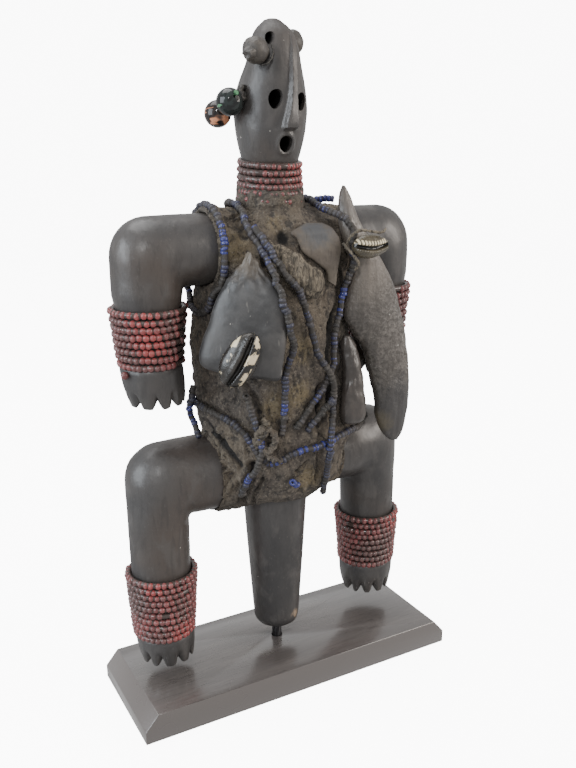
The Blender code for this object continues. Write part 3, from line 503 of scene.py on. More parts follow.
def limb(name, side, level, level_half, post, corner, column, set_back, seed, out=LIMB_OUT, sides=96):
    """An arm or leg: out from the body, round the bend, down to a notched hand or foot with a hollow sole."""
    crook_x = out - post - CROOK
    crook_z = level - level_half - CROOK
    frames = []
    for across in np.linspace(6.0, crook_x, 16)[:-1]:
        frames.append((Vector((side * across, set_back, level)), Vector((0, 1, 0)) * level_half,
                       Vector((0, 0, 1)) * level_half))
    for step in range(21):
        share = step / 20
        angle = math.pi / 2 * (1 - share)
        reach = bend_reach(angle, 2 * post + CROOK, 2 * level_half + CROOK, corner)
        ahead = Vector((side * math.cos(angle), 0, math.sin(angle)))
        middle, radius = (reach + CROOK) / 2, (reach - CROOK) / 2
        frames.append((Vector((side * crook_x, set_back, crook_z)) + ahead * middle,
                       Vector((0, 1, 0)) * (level_half * (1 - share) + post * share), ahead * radius))
    end = column[-1][0]
    for height in np.linspace(crook_z - 1.2, end, round((crook_z - end) / 1.1)):
        radius = row_at([(h, r) for h, r in reversed(column)], height, 1.0)[0]
        frames.append((Vector((side * out, set_back, height)), Vector((0, 1, 0)) * radius,
                       Vector((side, 0, 0)) * radius))
    shift = Vector((*END_SHIFT.get(name, (0, 0)), 0))
    notches = NOTCHES[name]
    rings = []
    for centre, deep, wide in frames:
        ring = []
        rises = []
        for k in range(sides):
            turn = 2 * math.pi * k / sides
            flat = deep * math.cos(turn) + wide * math.sin(turn)
            knife = 0.016 * noise.noise((centre + flat) * 0.055 + Vector((seed, 0, 0)))
            knife += 0.010 * noise.noise((centre + flat) * 0.13 + Vector((0, seed, 0)))
            point = centre + flat * (1 + knife)
            facing_to = math.degrees(math.atan2(flat.x, -flat.y))
            gap = min(abs((facing_to - notch + 180) % 360 - 180) for notch in notches)
            behind = held((abs(facing_to) - 85) / 25)
            cut = 0.78 * max(0.0, 1 - gap / 10.5) + 0.22 * max(0.0, 1 - gap / 19) ** 2
            rise = NOTCH_RISE * cut * (1 - behind)
            rise += behind * (1.0 + 0.8 * noise.noise(Vector((facing_to * 0.05, seed, 0))))
            rises.append(rise)
            if abs(wide.z) < 1e-6 and centre.z < end + NOTCH_TOP:
                down = (end + NOTCH_TOP - centre.z) / NOTCH_TOP
                point.z += down * rise
                point -= flat * 0.13 * bell(gap, 4.5) * down * (1 - behind)
            if abs(wide.z) < 1e-6 and centre.z < end + SHIFT_TOP:
                point += shift * ((end + SHIFT_TOP - centre.z) / SHIFT_TOP)
            ring.append(point)
        rings.append(ring)
    axis = frames[-1][0] + shift
    low = rings[-1]
    for inward, lift in ((0.95, -0.3), (0.82, 1.2), (0.6, 3.6), (0.3, 4.9), (0.08, 5.2)):
        rings.append([Vector((axis.x + (p.x - axis.x) * inward, axis.y + (p.y - axis.y) * inward,
                              end + rise + lift if inward > 0.9 else end + max(lift, rise * inward + 0.6)))
                      for rise, p in zip(rises, low)])
    return skin(name, [[spot(*p) for p in ring] for ring in rings])


def face_cutter(name, across, height, half_wide, half_tall, front, depth, lean=0.0):
    """A slightly three-cornered hole, wider above than below, that runs straight back."""
    rings = []
    for back, shrink in ((-front - 4, 1.0), (-front + 0.6, 1.0), (-front + depth * 0.6, 1.0),
                         (-front + depth, 0.8)):
        ring = []
        for k in range(28):
            turn = 2 * math.pi * k / 28
            wide = half_wide * (1 + 0.16 * math.sin(turn)) * shrink
            ring.append(spot(across + wide * math.cos(turn) + lean * math.sin(turn), back,
                             height + half_tall * shrink * math.sin(turn)))
        rings.append(ring)
    return skin(name, rings)


def front_of(height):
    """How far the bare face lies in front of the axis."""
    wide, deep, forward = row_at(HEAD_ROWS, height, 1.6)
    return deep + forward


def round_lump(name, centre, radius, sides=48, rings=24):
    """A ball on the figure's drawing."""
    loops = []
    for r in range(1, rings):
        tilt = math.pi * r / rings
        loops.append([spot(centre[0] + radius * math.sin(tilt) * math.cos(2 * math.pi * k / sides),
                           centre[1] + radius * math.sin(tilt) * math.sin(2 * math.pi * k / sides),
                           centre[2] - radius * math.cos(tilt)) for k in range(sides)])
    return skin(name, loops)


BROW_BALLS = {"right": ((-12.7, -13.6, 291.9), (-0.80, -0.50, -0.33)),
              "left": ((11.6, 0.4, 296.8), (0.75, 0.6, 0.15))}
BROW_BALL_RADIUS = 5.5

figure = skin("wooden_figure", head_rings())
trunk = skin("trunk", trunk_rings(PEG_ROWS + TORSO_ROWS + [(233, 11.5, 11.5, 0)], 64, 1.5, 1.2))
limbs = []
for side, word in ((RIGHT, "right"), (LEFT, "left")):
    limbs.append(limb(word + "_arm", side, set_back=SET_BACK["arm"][side], seed=side + 4.0, out=ARM_OUT[side],
                      **ARM))
    limbs.append(limb(word + "_leg", side, LEG_LEVEL[side], column=LEG_COLUMN[side],
                      set_back=SET_BACK["leg"][side], seed=side + 9.0, **LEG))
cut_by(figure, [trunk] + limbs, "UNION")
holes = [turned_bar("peg_bore", ROD_RADIUS + ROD_ROOM, 20, ROD_TIP + ROD_ROOM)]
holes.append(face_cutter("mouth", *MOUTH, front_of(MOUTH[1]), 10))
for eye in EYES:
    holes.append(face_cutter("eye", *eye, front_of(eye[1]) - 1.5, 10, 0.5))
holes.append(face_cutter("brow_hole", *BROW_HOLE, front_of(BROW_HOLE[1]) - 2, 8, 0.6))
for name, (centre, _) in BROW_BALLS.items():
    holes.append(round_lump(name + "_seat", centre, BROW_BALL_RADIUS + 0.25))
cut_by(figure, holes)
smooth_under(figure, 38)


def hollow_mark(piece):
    """Mark how deep each point of the head lies under its skin, so that the holes can be painted dark as
    shade.
    """
    marks = piece.data.attributes.new("hollow", "FLOAT", "POINT")
    for vertex, mark in zip(piece.data.vertices, marks.data):
        across, back, height = drawing_of(vertex.co)
        if height > 249:
            wide, deep, forward = row_at(HEAD_ROWS, height, 1.6)
            reach = math.hypot(across / wide, (back + forward) / deep)
            mark.value = (1 - reach) * wide
    return piece


hollow_mark(figure)


def mark_of(tree, name):
    """A number kept on the mesh, as a value for a material."""
    read = tree.nodes.new("ShaderNodeAttribute")
    read.attribute_name = name
    return read.outputs["Fac"]


def near(tree, here, place, inner, outer, wobble=0.0, squeeze=(1, 1, 1)):
    """One within inner millimetres of a place of the drawing, and nought beyond outer, with a ragged edge."""
    shift = tree.nodes.new("ShaderNodeMapping")
    middle = spot(*place)
    shift.inputs["Scale"].default_value = squeeze
    shift.inputs["Location"].default_value = [-m * s for m, s in zip(middle, squeeze)]
    tree.links.new(here, shift.inputs["Vector"])
    length = tree.nodes.new("ShaderNodeVectorMath")
    length.operation = "LENGTH"
    tree.links.new(shift.outputs["Vector"], length.inputs[0])
    gap = length.outputs["Value"]
    if wobble:
        ragged = speckle(tree, here, 260, 4, 0.65)
        gap = reckon(tree, "ADD", gap, reckon(tree, "MULTIPLY", reckon(tree, "SUBTRACT", ragged, 0.5),
                                              wobble * MM * 2))
    return ranged(tree, gap, outer * MM, inner * MM)


def near_any(tree, here, places, wobble):
    """The most that near() gives for any of these, each a place with its inner and its outer distance."""
    most = None
    for place, inner, outer in places:
        share = near(tree, here, place, inner, outer, wobble)
        most = reckon(tree, "MAXIMUM", most, share) if most else share
    return most


dark_wood, tree, shader, here = finish_of("oiled_hardwood", 0.42)
patch = speckle(tree, here, 30, 4, 0.6, (1, 1, 0.7), 0.4)
small_patch = speckle(tree, here, 110, 4, 0.62, (1, 1, 0.6), 0.5)
warmth = speckle(tree, here, 16, 3, 0.5)
grain = speckle(tree, here, 260, 4, 0.6, (1.6, 1.6, 0.25), 0.6)
pricks = speckle(tree, here, 900, 3, 0.6, (1, 1, 0.5))
worn = speckle(tree, here, 420, 2, 0.5)
# Painted shade under the right brow ball, and a pale chip at the foot of the peg
shade_under_brow_ball = reckon(tree, "MULTIPLY", near(tree, here, (-7, -16, 287), 2, 8.5, 3.0), 0.75)
chip = reckon(tree, "MULTIPLY", near(tree, here, (5, -10.5, 29), 0.5, 3.4, 2.0),
              ranged(tree, small_patch, 0.42, 0.52))
wood_colour = coats(
    tree, (0.029, 0.0275, 0.0275),
    (ranged(tree, patch, 0.35, 0.65), (0.053, 0.049, 0.047)),
    (ranged(tree, warmth, 0.47, 0.68, 0.0, 0.85), (0.058, 0.045, 0.037)),
    (ranged(tree, small_patch, 0.5, 0.68, 0.0, 0.55), (0.070, 0.064, 0.060)),
    (ranged(tree, grain, 0.5, 0.68, 0.0, 0.35), (0.020, 0.018, 0.017)),
    (ranged(tree, pricks, 0.62, 0.74, 0.0, 0.4), (0.095, 0.088, 0.080)),
    (ranged(tree, worn, 0.755, 0.79, 0.0, 0.9), (0.40, 0.37, 0.33)),
    # painted shade under the right brow ball
    (shade_under_brow_ball, (0.017, 0.016, 0.016)),
    (chip, (0.26, 0.19, 0.13)),
    # Painted shade: the eye, mouth and brow holes go near black with depth
    (ranged(tree, mark_of(tree, "hollow"), 1.2, 3.0), (0.004, 0.004, 0.004)))
sheen_drift = reckon(tree, "ADD", reckon(tree, "MULTIPLY", patch, 0.6),
                     reckon(tree, "MULTIPLY", small_patch, 0.4))
matt_crown = reckon(tree, "MULTIPLY", near(tree, here, (0, -5, 297), 6, 26), 0.15)
paint(tree, shader, wood_colour,
      reckon(tree, "ADD", ranged(tree, sheen_drift, 0.36, 0.64, 0.52, 0.30), matt_crown))
relief(tree, shader, [(patch, 0.9), (small_patch, 0.25), (grain, 0.05), (pricks, 0.03)])
dress(figure, dark_wood, ["carved_figure"])


# Wrap: layers of cloth bound over the trunk, shoulders and hips, stiff with many coats of earth,
# oil and gum. It is cracked and crumbled, painted near black as shade in its folds, and ochre where it is
# rubbed
def copy_of(node, name, voxel):
    """The form of a solid as a fine even mesh, ready to be worked."""
    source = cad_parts[node]
    mesh = source.data.copy()
    form = bmesh.new()
    form.from_mesh(mesh)
    bmesh.ops.remove_doubles(form, verts=form.verts, dist=0.005 * MM)
    form.to_mesh(mesh)
    form.free()
    made = bpy.data.objects.new(name, mesh)
    bpy.context.scene.collection.objects.link(made)
    fine = made.modifiers.new("fine", "REMESH")
    fine.mode = "VOXEL"
    fine.voxel_size = voxel * MM
    fine.adaptivity = 0.0
    return settle(made)


def ease_mesh(piece, rounds):
    """Soften the steps of a remesh without changing its size much."""
    soft = piece.modifiers.new("eased", "SMOOTH")
    soft.factor = 0.5
    soft.iterations = rounds
    return settle(piece)


def work_surface(piece, lift):
    """Move each point along its normal by lift(place, normal), all in mm, and keep it as raised."""
    mesh = piece.data
    raised = mesh.attributes.new("raised", "FLOAT", "POINT")
    moves = [lift(v.co / MM, v.normal) for v in mesh.vertices]
    normals = [v.normal.copy() for v in mesh.vertices]
    for vertex, normal, move, mark in zip(mesh.vertices, normals, moves, raised.data):
        vertex.co += normal * move * MM
        mark.value = move
    return piece


def cloud(point, cell, seed, octaves=3):
    """Soft noise between about -1 and 1, with lumps of this many millimetres."""
    return noise.fractal(point / cell + Vector((seed, seed * 1.7, -seed)), 0.9, 2.1, octaves)


# Grooves where folds of the cloth lie over each other, and hollows that fingers or knots have left:
# places of the drawing, with the width of a groove and its depth, or the reach of a hollow and its depth
GROOVES = [([(-38, -4, 135), (-37, -7, 132), (-35, -14, 126), (-31, -19, 120), (-29, -21, 117)], 1.5, 1.7),
           ([(-33, -17, 112), (-34, -14, 107), (-34, -9, 100), (-34, -2, 93)], 1.3, 1.9),
           ([(-24, -24, 118), (-26, -23, 112), (-27, -20, 104), (-29, -17, 98)], 1.4, 1.9),
           ([(-20, -26, 111), (-22, -24, 106), (-24, -22, 102), (-25, -19, 96)], 1.1, 1.5),
           ([(-25, -24, 155), (-23, -26, 150), (-22, -27, 143), (-22, -27, 136)], 1.4, 1.3),
           ([(-12, -28, 192), (-12, -29, 180), (-12, -29, 171)], 1.4, 1.2),
           ([(8, -31, 151), (8, -31, 137), (8, -30, 125), (10, -28, 106)], 1.4, 1.5),
           ([(-3, -30, 112), (0, -30, 115), (2, -30, 117)], 0.9, 1.3),
           ([(-28, -11, 227), (-26, -15, 222), (-23, -19, 218)], 1.3, 1.2),
           ([(22, -25, 184), (19, -27, 176), (17, -28, 167), (16, -29, 154), (16, -29, 142)], 2.2, 2.0),
           ([(-38, -7, 148), (-36, -13, 152), (-32, -18, 154)], 1.2, 1.2),
           ([(30, 8, 150), (24, 22, 163), (8, 28, 170), (-12, 27, 166)], 1.4, 1.5),
           ([(-34, 12, 190), (-22, 24, 180), (-6, 28, 186), (14, 27, 196)], 1.4, 1.4),
           ([(36, 6, 118), (26, 20, 112), (8, 27, 104)], 1.3, 1.5)]
HOLLOWS = [((-6, -25, 217), 4.5, 3.0), ((-17, -25, 208), 3.0, 2.0), ((19, -27, 176), 4.0, 2.6),
           ((17, -29, 144), 4.5, 2.2), ((-16, -29, 127), 2.2, 2.4), ((-37, -7, 178), 4.0, 1.6),
           ((-24, -17, 200), 3.5, 1.6), ((2, -28, 203), 3.0, 1.6)]


WRAP_RADIUS = 33
# What lies further forward than this counts as the wrap's front
FRONT_LIMIT = 4


def unrolled(place, front):
    """The place's way round the wrap and its height, in mm, counted from the front or from the back."""
    return Vector((math.atan2(place[0], -place[1] if front else place[1]) * WRAP_RADIUS, place[2], 0))


def off_line(point, places, front):
    """How far an unrolled point lies from a line through places, in millimetres."""
    best = 1e9
    for a, b in zip(places, places[1:]):
        a, b = unrolled(a, front), unrolled(b, front)
        along = b - a
        share = held((point - a).dot(along) / along.length_squared)
        best = min(best, (point - a - along * share).length)
    return best


# A pad of crust under the loop of beads on the right shoulder
PAD_UNDER_LOOP = Vector((-30, 0, 229))


def wrap_lift(point, normal):
    """Swells, crumbs and fibres of the crust, less its grooves and hollows."""
    drawn = point - AXIS
    out = Vector((drawn.x, drawn.y, 0)).normalized()
    over_limb = 0.0
    if abs(drawn.x) > 26 and drawn.z < 131:
        out = Vector((0, drawn.y - 4, drawn.z - 108.5)).normalized()
        over_limb = min((abs(drawn.x) - 26) / 7, 1.0)
    elif abs(drawn.x) > 28 and drawn.z > 197:
        out = Vector((0, drawn.y - 1, drawn.z - 212)).normalized()
        over_limb = min((abs(drawn.x) - 28) / 6, 1.0) * 0.5
    if normal.dot(out) < -0.25:
        return 0.0
    lift = 1.05 * cloud(point, 13, 2.0, 3) + 0.5 * cloud(point, 3.8, 5.0, 3) + 0.3 * cloud(point, 1.7, 1.0, 2)
    lift += 0.4 * cloud(Vector((point.x * 1.4, point.y * 1.4, point.z * 0.4)), 3.4, 8.0, 2) - 1.15 * over_limb
    if abs(drawn.z - 176) < 34:
        lift += 1.5 * bell(drawn.z - 176, 20) * held((-drawn.x - 24) / 8)
    wander = drawn + Vector((cloud(point, 5, 3.0, 2), cloud(point, 5, 6.0, 2), cloud(point, 5, 9.0, 2))) * 0.9
    front = drawn.y < FRONT_LIMIT
    flat = unrolled(wander, front)
    for places, width, depth in GROOVES:
        if (places[0][1] < FRONT_LIMIT) != front or drawn.z < places[0][2] - 70:
            continue
        gap = off_line(flat, places, front)
        if gap < 4 * width:
            lift -= 1.2 * depth * bell(gap, width) - 0.5 * depth * bell(gap - 2.1 * width, width * 0.8)
    for place, reach, depth in HOLLOWS:
        if front:
            lift -= depth * bell((flat - unrolled(place, True)).length, reach)
    lift += 2.0 * bell((drawn - PAD_UNDER_LOOP).length, 7)
    return lift - 0.1


wrap = ease_mesh(copy_of("body_wrap", "crusted_wrap", 0.8), 6)
work_surface(wrap, wrap_lift)
smooth_under(wrap, 80)

crusted, tree, shader, here = finish_of("earth_crust", 0.82)
raised_for_fold_shade = mark_of(tree, "raised")
broad = speckle(tree, here, 55, 4, 0.6)
warm_zone = speckle(tree, here, 26, 2, 0.5)
grit = speckle(tree, here, 700, 4, 0.72)
crumb = speckle(tree, here, 300, 4, 0.65, (1, 1, 0.6), 0.6)
dust = speckle(tree, here, 1500, 2, 0.6)
ochre = near_any(tree, here, [((-26, -18, 215), 3, 11), ((-13, -30, 145), 3, 11), ((-3, -31, 150), 3, 10),
                              ((4, -29, 108), 3, 11), ((-8, -21, 224), 2, 7), ((0, -31, 170), 3, 10),
                              ((6, 28, 200), 4, 16), ((-14, 27, 150), 4, 16), ((20, 24, 120), 4, 14)], 4.0)
crust_colour = coats(
    tree, (0.062, 0.052, 0.044),
    (ranged(tree, broad, 0.36, 0.66), (0.100, 0.084, 0.066)),
    (reckon(tree, "MULTIPLY", ochre, 0.75), (0.150, 0.118, 0.063)),
    (ranged(tree, warm_zone, 0.48, 0.62, 0.0, 0.4), (0.122, 0.095, 0.061)),
    (ranged(tree, crumb, 0.52, 0.36, 0.0, 0.85), (0.021, 0.018, 0.0155)),
    (ranged(tree, grit, 0.54, 0.66, 0.0, 0.8), (0.17, 0.145, 0.115)),
    (ranged(tree, grit, 0.44, 0.34, 0.0, 0.8), (0.015, 0.013, 0.011)),
    (ranged(tree, dust, 0.69, 0.78, 0.0, 0.7), (0.34, 0.31, 0.27)),
    # Painted shade: the crust goes near black where its surface was sunk into grooves and hollows
    (ranged(tree, raised_for_fold_shade, -0.9, -2.4), (0.007, 0.006, 0.005)))
paint(tree, shader, crust_colour)
relief(tree, shader, [(crumb, 1.4), (grit, 0.8), (dust, 0.2)])
dress(wrap, crusted, ["body_wrap"])


# Bead cuffs and collar: small drawn glass beads in level rows, sewn tight
# round each limb and the neck on dark thread. They are brick red where
# they are rubbed and dull with grime elsewhere, and some have fallen out
def socket_for(group, name, kind, value):
    """A named input of a node group, with its usual value."""
    made = group.interface.new_socket(name, in_out="INPUT", socket_type=kind)
    if value is not None:
        made.default_value = value
    return made.identifier


class Bench:
    """Places nodes in one node group and links what is handed to them."""

    def __init__(self, name):
        self.group = bpy.data.node_groups.new(name, "GeometryNodeTree")
        self.group.interface.new_socket("Geometry", in_out="INPUT", socket_type="NodeSocketGeometry")
        self.group.interface.new_socket("Geometry", in_out="OUTPUT", socket_type="NodeSocketGeometry")
        self.keys = {}
        self.source = None

    def ask(self, name, kind, value):
        """Declare a named input."""
        self.keys[name] = socket_for(self.group, name, kind, value)

    def given(self, name):
        """The socket of a declared input."""
        if self.source is None:
            self.source = self.group.nodes.new("NodeGroupInput")
        return self.source.outputs[name]

    def node(self, kind, ins=(), **settings):
        """A node with its settings and inputs, given by name or number."""
        made = self.group.nodes.new(kind)
        for key, value in settings.items():
            setattr(made, key, value)
        for key, value in dict(ins).items():
            if isinstance(value, bpy.types.NodeSocket):
                self.group.links.new(value, made.inputs[key])
            else:
                made.inputs[key].default_value = value
        return made

    def sum(self, way, first, second=0.0):
        """One step of arithmetic."""
        return self.node("ShaderNodeMath", {0: first, 1: second}, operation=way).outputs[0]

    def plus(self, first, second):
        """One value and another."""
        return self.sum("ADD", first, second)

    def minus(self, first, second):
        """One value less another."""
        return self.sum("SUBTRACT", first, second)

    def times(self, first, second):
        """One value times another."""
        return self.sum("MULTIPLY", first, second)

    def over(self, first, second):
        """One value divided by another."""
        return self.sum("DIVIDE", first, second)

    def vector(self, x, y, z):
        """Three values as one vector."""
        return self.node("ShaderNodeCombineXYZ", {0: x, 1: y, 2: z}).outputs[0]

    def stored(self, geometry, name, value):
        """The geometry with a number kept on each of its points."""
        return self.node("GeometryNodeStoreNamedAttribute",
                         {"Geometry": geometry, "Name": name, "Value": value},
                         data_type="FLOAT", domain="POINT").outputs[0]

    def kept_on(self, name, kind="FLOAT"):
        """What is kept under this name on each point."""
        return self.node("GeometryNodeInputNamedAttribute", {"Name": name}, data_type=kind).outputs[0]

    def drawn(self, low, high, seed, glint_specks):
        """A random number for each point."""
        made = self.node("FunctionNodeRandomValue", {2: low, 3: high, "Seed": self.plus(seed, glint_specks)},
                         data_type="FLOAT")
        return made.outputs[1]

    def give(self, geometry):
        """Send the result out of the group."""
        out = self.group.nodes.new("NodeGroupOutput")
        self.group.links.new(geometry, out.inputs[0])


def bead_row_tree(material):
    """Rows of beads round a tapering limb, on rings of thread."""
    bench = Bench("bead_rows")
    for name, value in (
            ("Rows", 8), ("Beads in a row", 30), ("Across", 0.0), ("Back", 0.0), ("Top", 0.1),
            ("Pitch", 0.003), ("Top radius", 0.015), ("Bottom radius", 0.012), ("Bead width", 0.003),
            ("Bead length", 0.0026), ("Filling", 0.0013), ("Missing", 0.01), ("Bare from", 0.0),
            ("Bare to", 0.0), ("Tilt", 0.0), ("Seed", 1)):
        bench.ask(name, "NodeSocketInt" if isinstance(value, int) else "NodeSocketFloat", value)
    rows, beads, seed = bench.given("Rows"), bench.given("Beads in a row"), bench.given("Seed")
    total = bench.times(rows, beads)
    points = bench.node("GeometryNodePoints", {"Count": total})
    index = bench.node("GeometryNodeInputIndex").outputs[0]
    row = bench.sum("FLOOR", bench.over(bench.plus(index, 0.5), beads))
    place = bench.minus(index, bench.times(row, beads))
    stagger = bench.sum("FRACT", bench.times(row, 0.382))
    along = bench.plus(bench.plus(place, stagger), bench.drawn(-0.09, 0.09, seed, 1))
    turn = bench.times(bench.over(along, beads), 2 * math.pi)
    share = bench.over(row, bench.minus(rows, 1.0))
    slope = bench.minus(bench.given("Bottom radius"), bench.given("Top radius"))
    radius = bench.plus(bench.given("Top radius"), bench.times(share, slope))
    radius = bench.plus(radius, bench.drawn(-0.00022, 0.00008, seed, 2))
    sag = bench.times(bench.sum("SINE", bench.plus(turn, bench.times(row, 0.9))), 0.00022)
    drop = bench.times(bench.plus(row, 0.5), bench.given("Pitch"))
    height = bench.plus(bench.minus(bench.given("Top"), drop), sag)
    height = bench.plus(height, bench.drawn(-0.00016, 0.00016, seed, 3))
    behind = bench.times(bench.sum("SINE", turn), radius)
    height = bench.plus(height, bench.times(behind, bench.given("Tilt")))
    x = bench.plus(bench.times(bench.sum("COSINE", turn), radius), bench.given("Across"))
    y = bench.plus(bench.times(bench.sum("SINE", turn), radius), bench.given("Back"))
    spots = bench.vector(x, y, height)
    placed = bench.node("GeometryNodeSetPosition", {"Geometry": points.outputs[0],
                                                    "Position": spots}).outputs[0]
    tone = bench.drawn(0.0, 1.0, seed, 4)
    placed = bench.stored(placed, "tone", tone)
    wrapped = bench.sum("FRACT", bench.over(turn, 2 * math.pi))
    after = bench.sum("GREATER_THAN", wrapped, bench.given("Bare from"))
    before = bench.sum("LESS_THAN", wrapped, bench.given("Bare to"))
    bare = bench.times(bench.times(after, before), 0.9)
    lost = bench.plus(bench.given("Missing"), bare)
    gone = bench.sum("LESS_THAN", bench.drawn(0.0, 1.0, seed, 5), lost)
    kept = bench.node("GeometryNodeDeleteGeometry", {"Geometry": placed, "Selection": gone},
                      domain="POINT").outputs[0]
    ball = bench.node("GeometryNodeMeshUVSphere", {"Segments": 10, "Rings": 6, "Radius": 0.5}).outputs[0]
    ball = bench.node("GeometryNodeSetShadeSmooth", {0: ball}).outputs[0]
    tilt = bench.vector(bench.drawn(-0.25, 0.25, seed, 6), bench.drawn(-0.25, 0.25, seed, 7), turn)
    size = bench.times(bench.given("Bead width"), bench.drawn(0.92, 1.06, seed, 8))
    length = bench.times(bench.given("Bead length"), bench.drawn(0.94, 1.06, seed, 9))
    form = bench.vector(size, length, size)
    strung = bench.node("GeometryNodeInstanceOnPoints", {"Points": kept, "Instance": ball, "Rotation": tilt,
                                                         "Scale": form}).outputs[0]
    thread_rows = bench.node("GeometryNodePoints", {"Count": rows}).outputs[0]
    number = bench.node("GeometryNodeInputIndex").outputs[0]
    level_drop = bench.times(bench.plus(number, 0.5), bench.given("Pitch"))
    level = bench.minus(bench.given("Top"), level_drop)
    ring_place = bench.vector(bench.given("Across"), bench.given("Back"), level)
    thread_rows = bench.node("GeometryNodeSetPosition", {"Geometry": thread_rows,
                                                         "Position": ring_place}).outputs[0]
    ring_share = bench.over(number, bench.minus(rows, 1.0))
    ring_radius = bench.plus(bench.given("Top radius"), bench.times(ring_share, slope))
    ring_radius = bench.minus(ring_radius, 0.0005)
    ring_size = bench.vector(ring_radius, ring_radius, 1.0)
    circle = bench.node("GeometryNodeCurvePrimitiveCircle", {"Resolution": 40, "Radius": 1.0}).outputs[0]
    ring_tilt = bench.vector(bench.given("Tilt"), 0.0, 0.0)
    rings = bench.node("GeometryNodeInstanceOnPoints", {"Points": thread_rows, "Instance": circle,
                                                        "Rotation": ring_tilt, "Scale": ring_size}).outputs[0]
    rings = bench.node("GeometryNodeRealizeInstances", {0: rings}).outputs[0]
    profile = bench.node("GeometryNodeCurvePrimitiveCircle",
                         {"Resolution": 8, "Radius": bench.given("Filling")}).outputs[0]
    threads = bench.node("GeometryNodeCurveToMesh", {"Curve": rings, "Profile Curve": profile}).outputs[0]
    threads = bench.stored(threads, "tone", -1.0)
    beads_made = bench.node("GeometryNodeRealizeInstances", {0: strung}).outputs[0]
    joined = bench.node("GeometryNodeJoinGeometry")
    bench.group.links.new(beads_made, joined.inputs[0])
    bench.group.links.new(threads, joined.inputs[0])
    whole = bench.node("GeometryNodeRealizeInstances", {0: joined.outputs[0]}).outputs[0]
    bench.give(bench.node("GeometryNodeSetMaterial", {"Geometry": whole, "Material": material}).outputs[0])
    return bench


brick_glass, tree, shader, here = finish_of("brick_red_beads", 0.2)
tone = mark_of(tree, "tone")
grime = speckle(tree, here, 60, 3, 0.6)
film = speckle(tree, here, 900, 3, 0.6)
rubbed = near_any(tree, here, [((-67, -14, 189), 4, 11), ((-64, -15, 176), 4, 11), ((-68, -11, 63), 2.5, 7.5),
                               ((-52, -11, 36), 4, 10), ((67, -6, 66), 4, 10), ((10, -11, 247), 5, 13),
                               ((11, -10, 242), 2, 8), ((46, 2, 184), 3, 9)], 1.5)
soiled = near_any(tree, here, [((-73, 0, 54), 5, 12), ((-70, 8, 180), 5, 13), ((0, 0, 233), 5, 15),
                               ((-13, -4, 245), 2, 9), ((55, -8, 50), 4, 12)], 3.0)
red = coats(
    tree, (0.130, 0.044, 0.043),
    (ranged(tree, tone, 0.0, 1.0), (0.215, 0.064, 0.062)),
    (ranged(tree, grime, 0.46, 0.60, 0.0, 0.8), (0.102, 0.050, 0.047)),
    (reckon(tree, "MULTIPLY", rubbed, 0.85), (0.29, 0.056, 0.054)),
    (reckon(tree, "MULTIPLY", soiled, 0.88), (0.092, 0.054, 0.050)),
    (ranged(tree, film, 0.52, 0.74, 0.0, 0.35), (0.20, 0.165, 0.15)),
    (ranged(tree, tone, -0.2, -0.6), (0.052, 0.036, 0.032)))
paint(tree, shader, red, ranged(tree, film, 0.4, 0.7, 0.13, 0.4))
relief(tree, shader, [(film, 0.06)])

bead_rows = bead_row_tree(brick_glass)


def bead_cuff(node, name, across, back, top, rows, pitch, top_radius, bottom_radius, seed, missing=0.012,
              bare=(0.0, 0.0), size=(3.15, 2.75), filling=1.35, tilt=0.0):
    """One cuff or collar, made from the bead rows. size is a bead's width and its length along the row."""
    count = round(2 * math.pi * (top_radius + bottom_radius) / 2 / size[1] / 0.99)
    cuff = plain_mesh(name, [], [])
    step = cuff.modifiers.new("rows", "NODES")
    step.node_group = bead_rows.group
    centre = spot(across, back, 0)
    values = {"Rows": rows, "Beads in a row": count, "Across": centre.x, "Back": centre.y, "Top": top * MM,
              "Pitch": pitch * MM, "Top radius": top_radius * MM, "Bottom radius": bottom_radius * MM,
              "Bead width": size[0] * MM, "Bead length": size[1] * MM, "Filling": filling * MM,
              "Missing": missing, "Bare from": bare[0], "Bare to": bare[1], "Tilt": tilt, "Seed": seed}
    for key, value in values.items():
        step[bead_rows.keys[key]] = value
    settle(cuff)
    dress(cuff, brick_glass, [node])
    return cuff


bead_cuff("right_arm_bead_cuff", "right_arm_beads", -LIMB_OUT, 1, 190.3, 8, 3.25, 15.9, 13.5, 11,
          bare=(0.84, 0.95))
bead_cuff("left_arm_bead_cuff", "left_arm_beads", ARM_OUT[LEFT], 1, 190.3, 8, 3.25, 15.9, 13.5, 12)
bead_cuff("right_leg_bead_cuff", "right_leg_beads", -LIMB_OUT, 3, 66, 10, 3.25, 15.7, 13.7, 13, 0.03)
bead_cuff("left_leg_bead_cuff", "left_leg_beads", LIMB_OUT, 7.5, 68.6, 9, 3.25, 15.8, 13.9, 14)
bead_cuff("neck_bead_collar", "neck_beads", 0, 0, 249, 6, 2.95, 13.2, 14.0, 15, 0.05, size=(2.75, 2.4),
          filling=1.5, tilt=0.1)

# Crust has run over the collar's lower rows, in lumps
rings = []
for height in np.arange(227.5, 243.6, 0.5):
    ring = []
    for k in range(120):
        turn = 2 * math.pi * k / 120
        outward = Vector((math.cos(turn), math.sin(turn), 0))
        place = outward * 14 + Vector((0, 0, height))
        cover = 15.5 - 0.10 * (height - 228) + 0.85 * cloud(place, 4.2, 6.0, 4)
        cover += 0.3 * cloud(place, 1.5, 2.0, 2)
        cover -= 2.6 * held((height - 237 + 3.0 * cloud(place, 6, 9.0, 2)) / 5)
        ring.append(spot(*(outward * cover + Vector((0, 0, height + 1.4 * outward.y)))))
    rings.append(ring)
collar_crust = skin("collar_crust", rings)
smooth_under(collar_crust, 80)
dress(collar_crust, crusted)

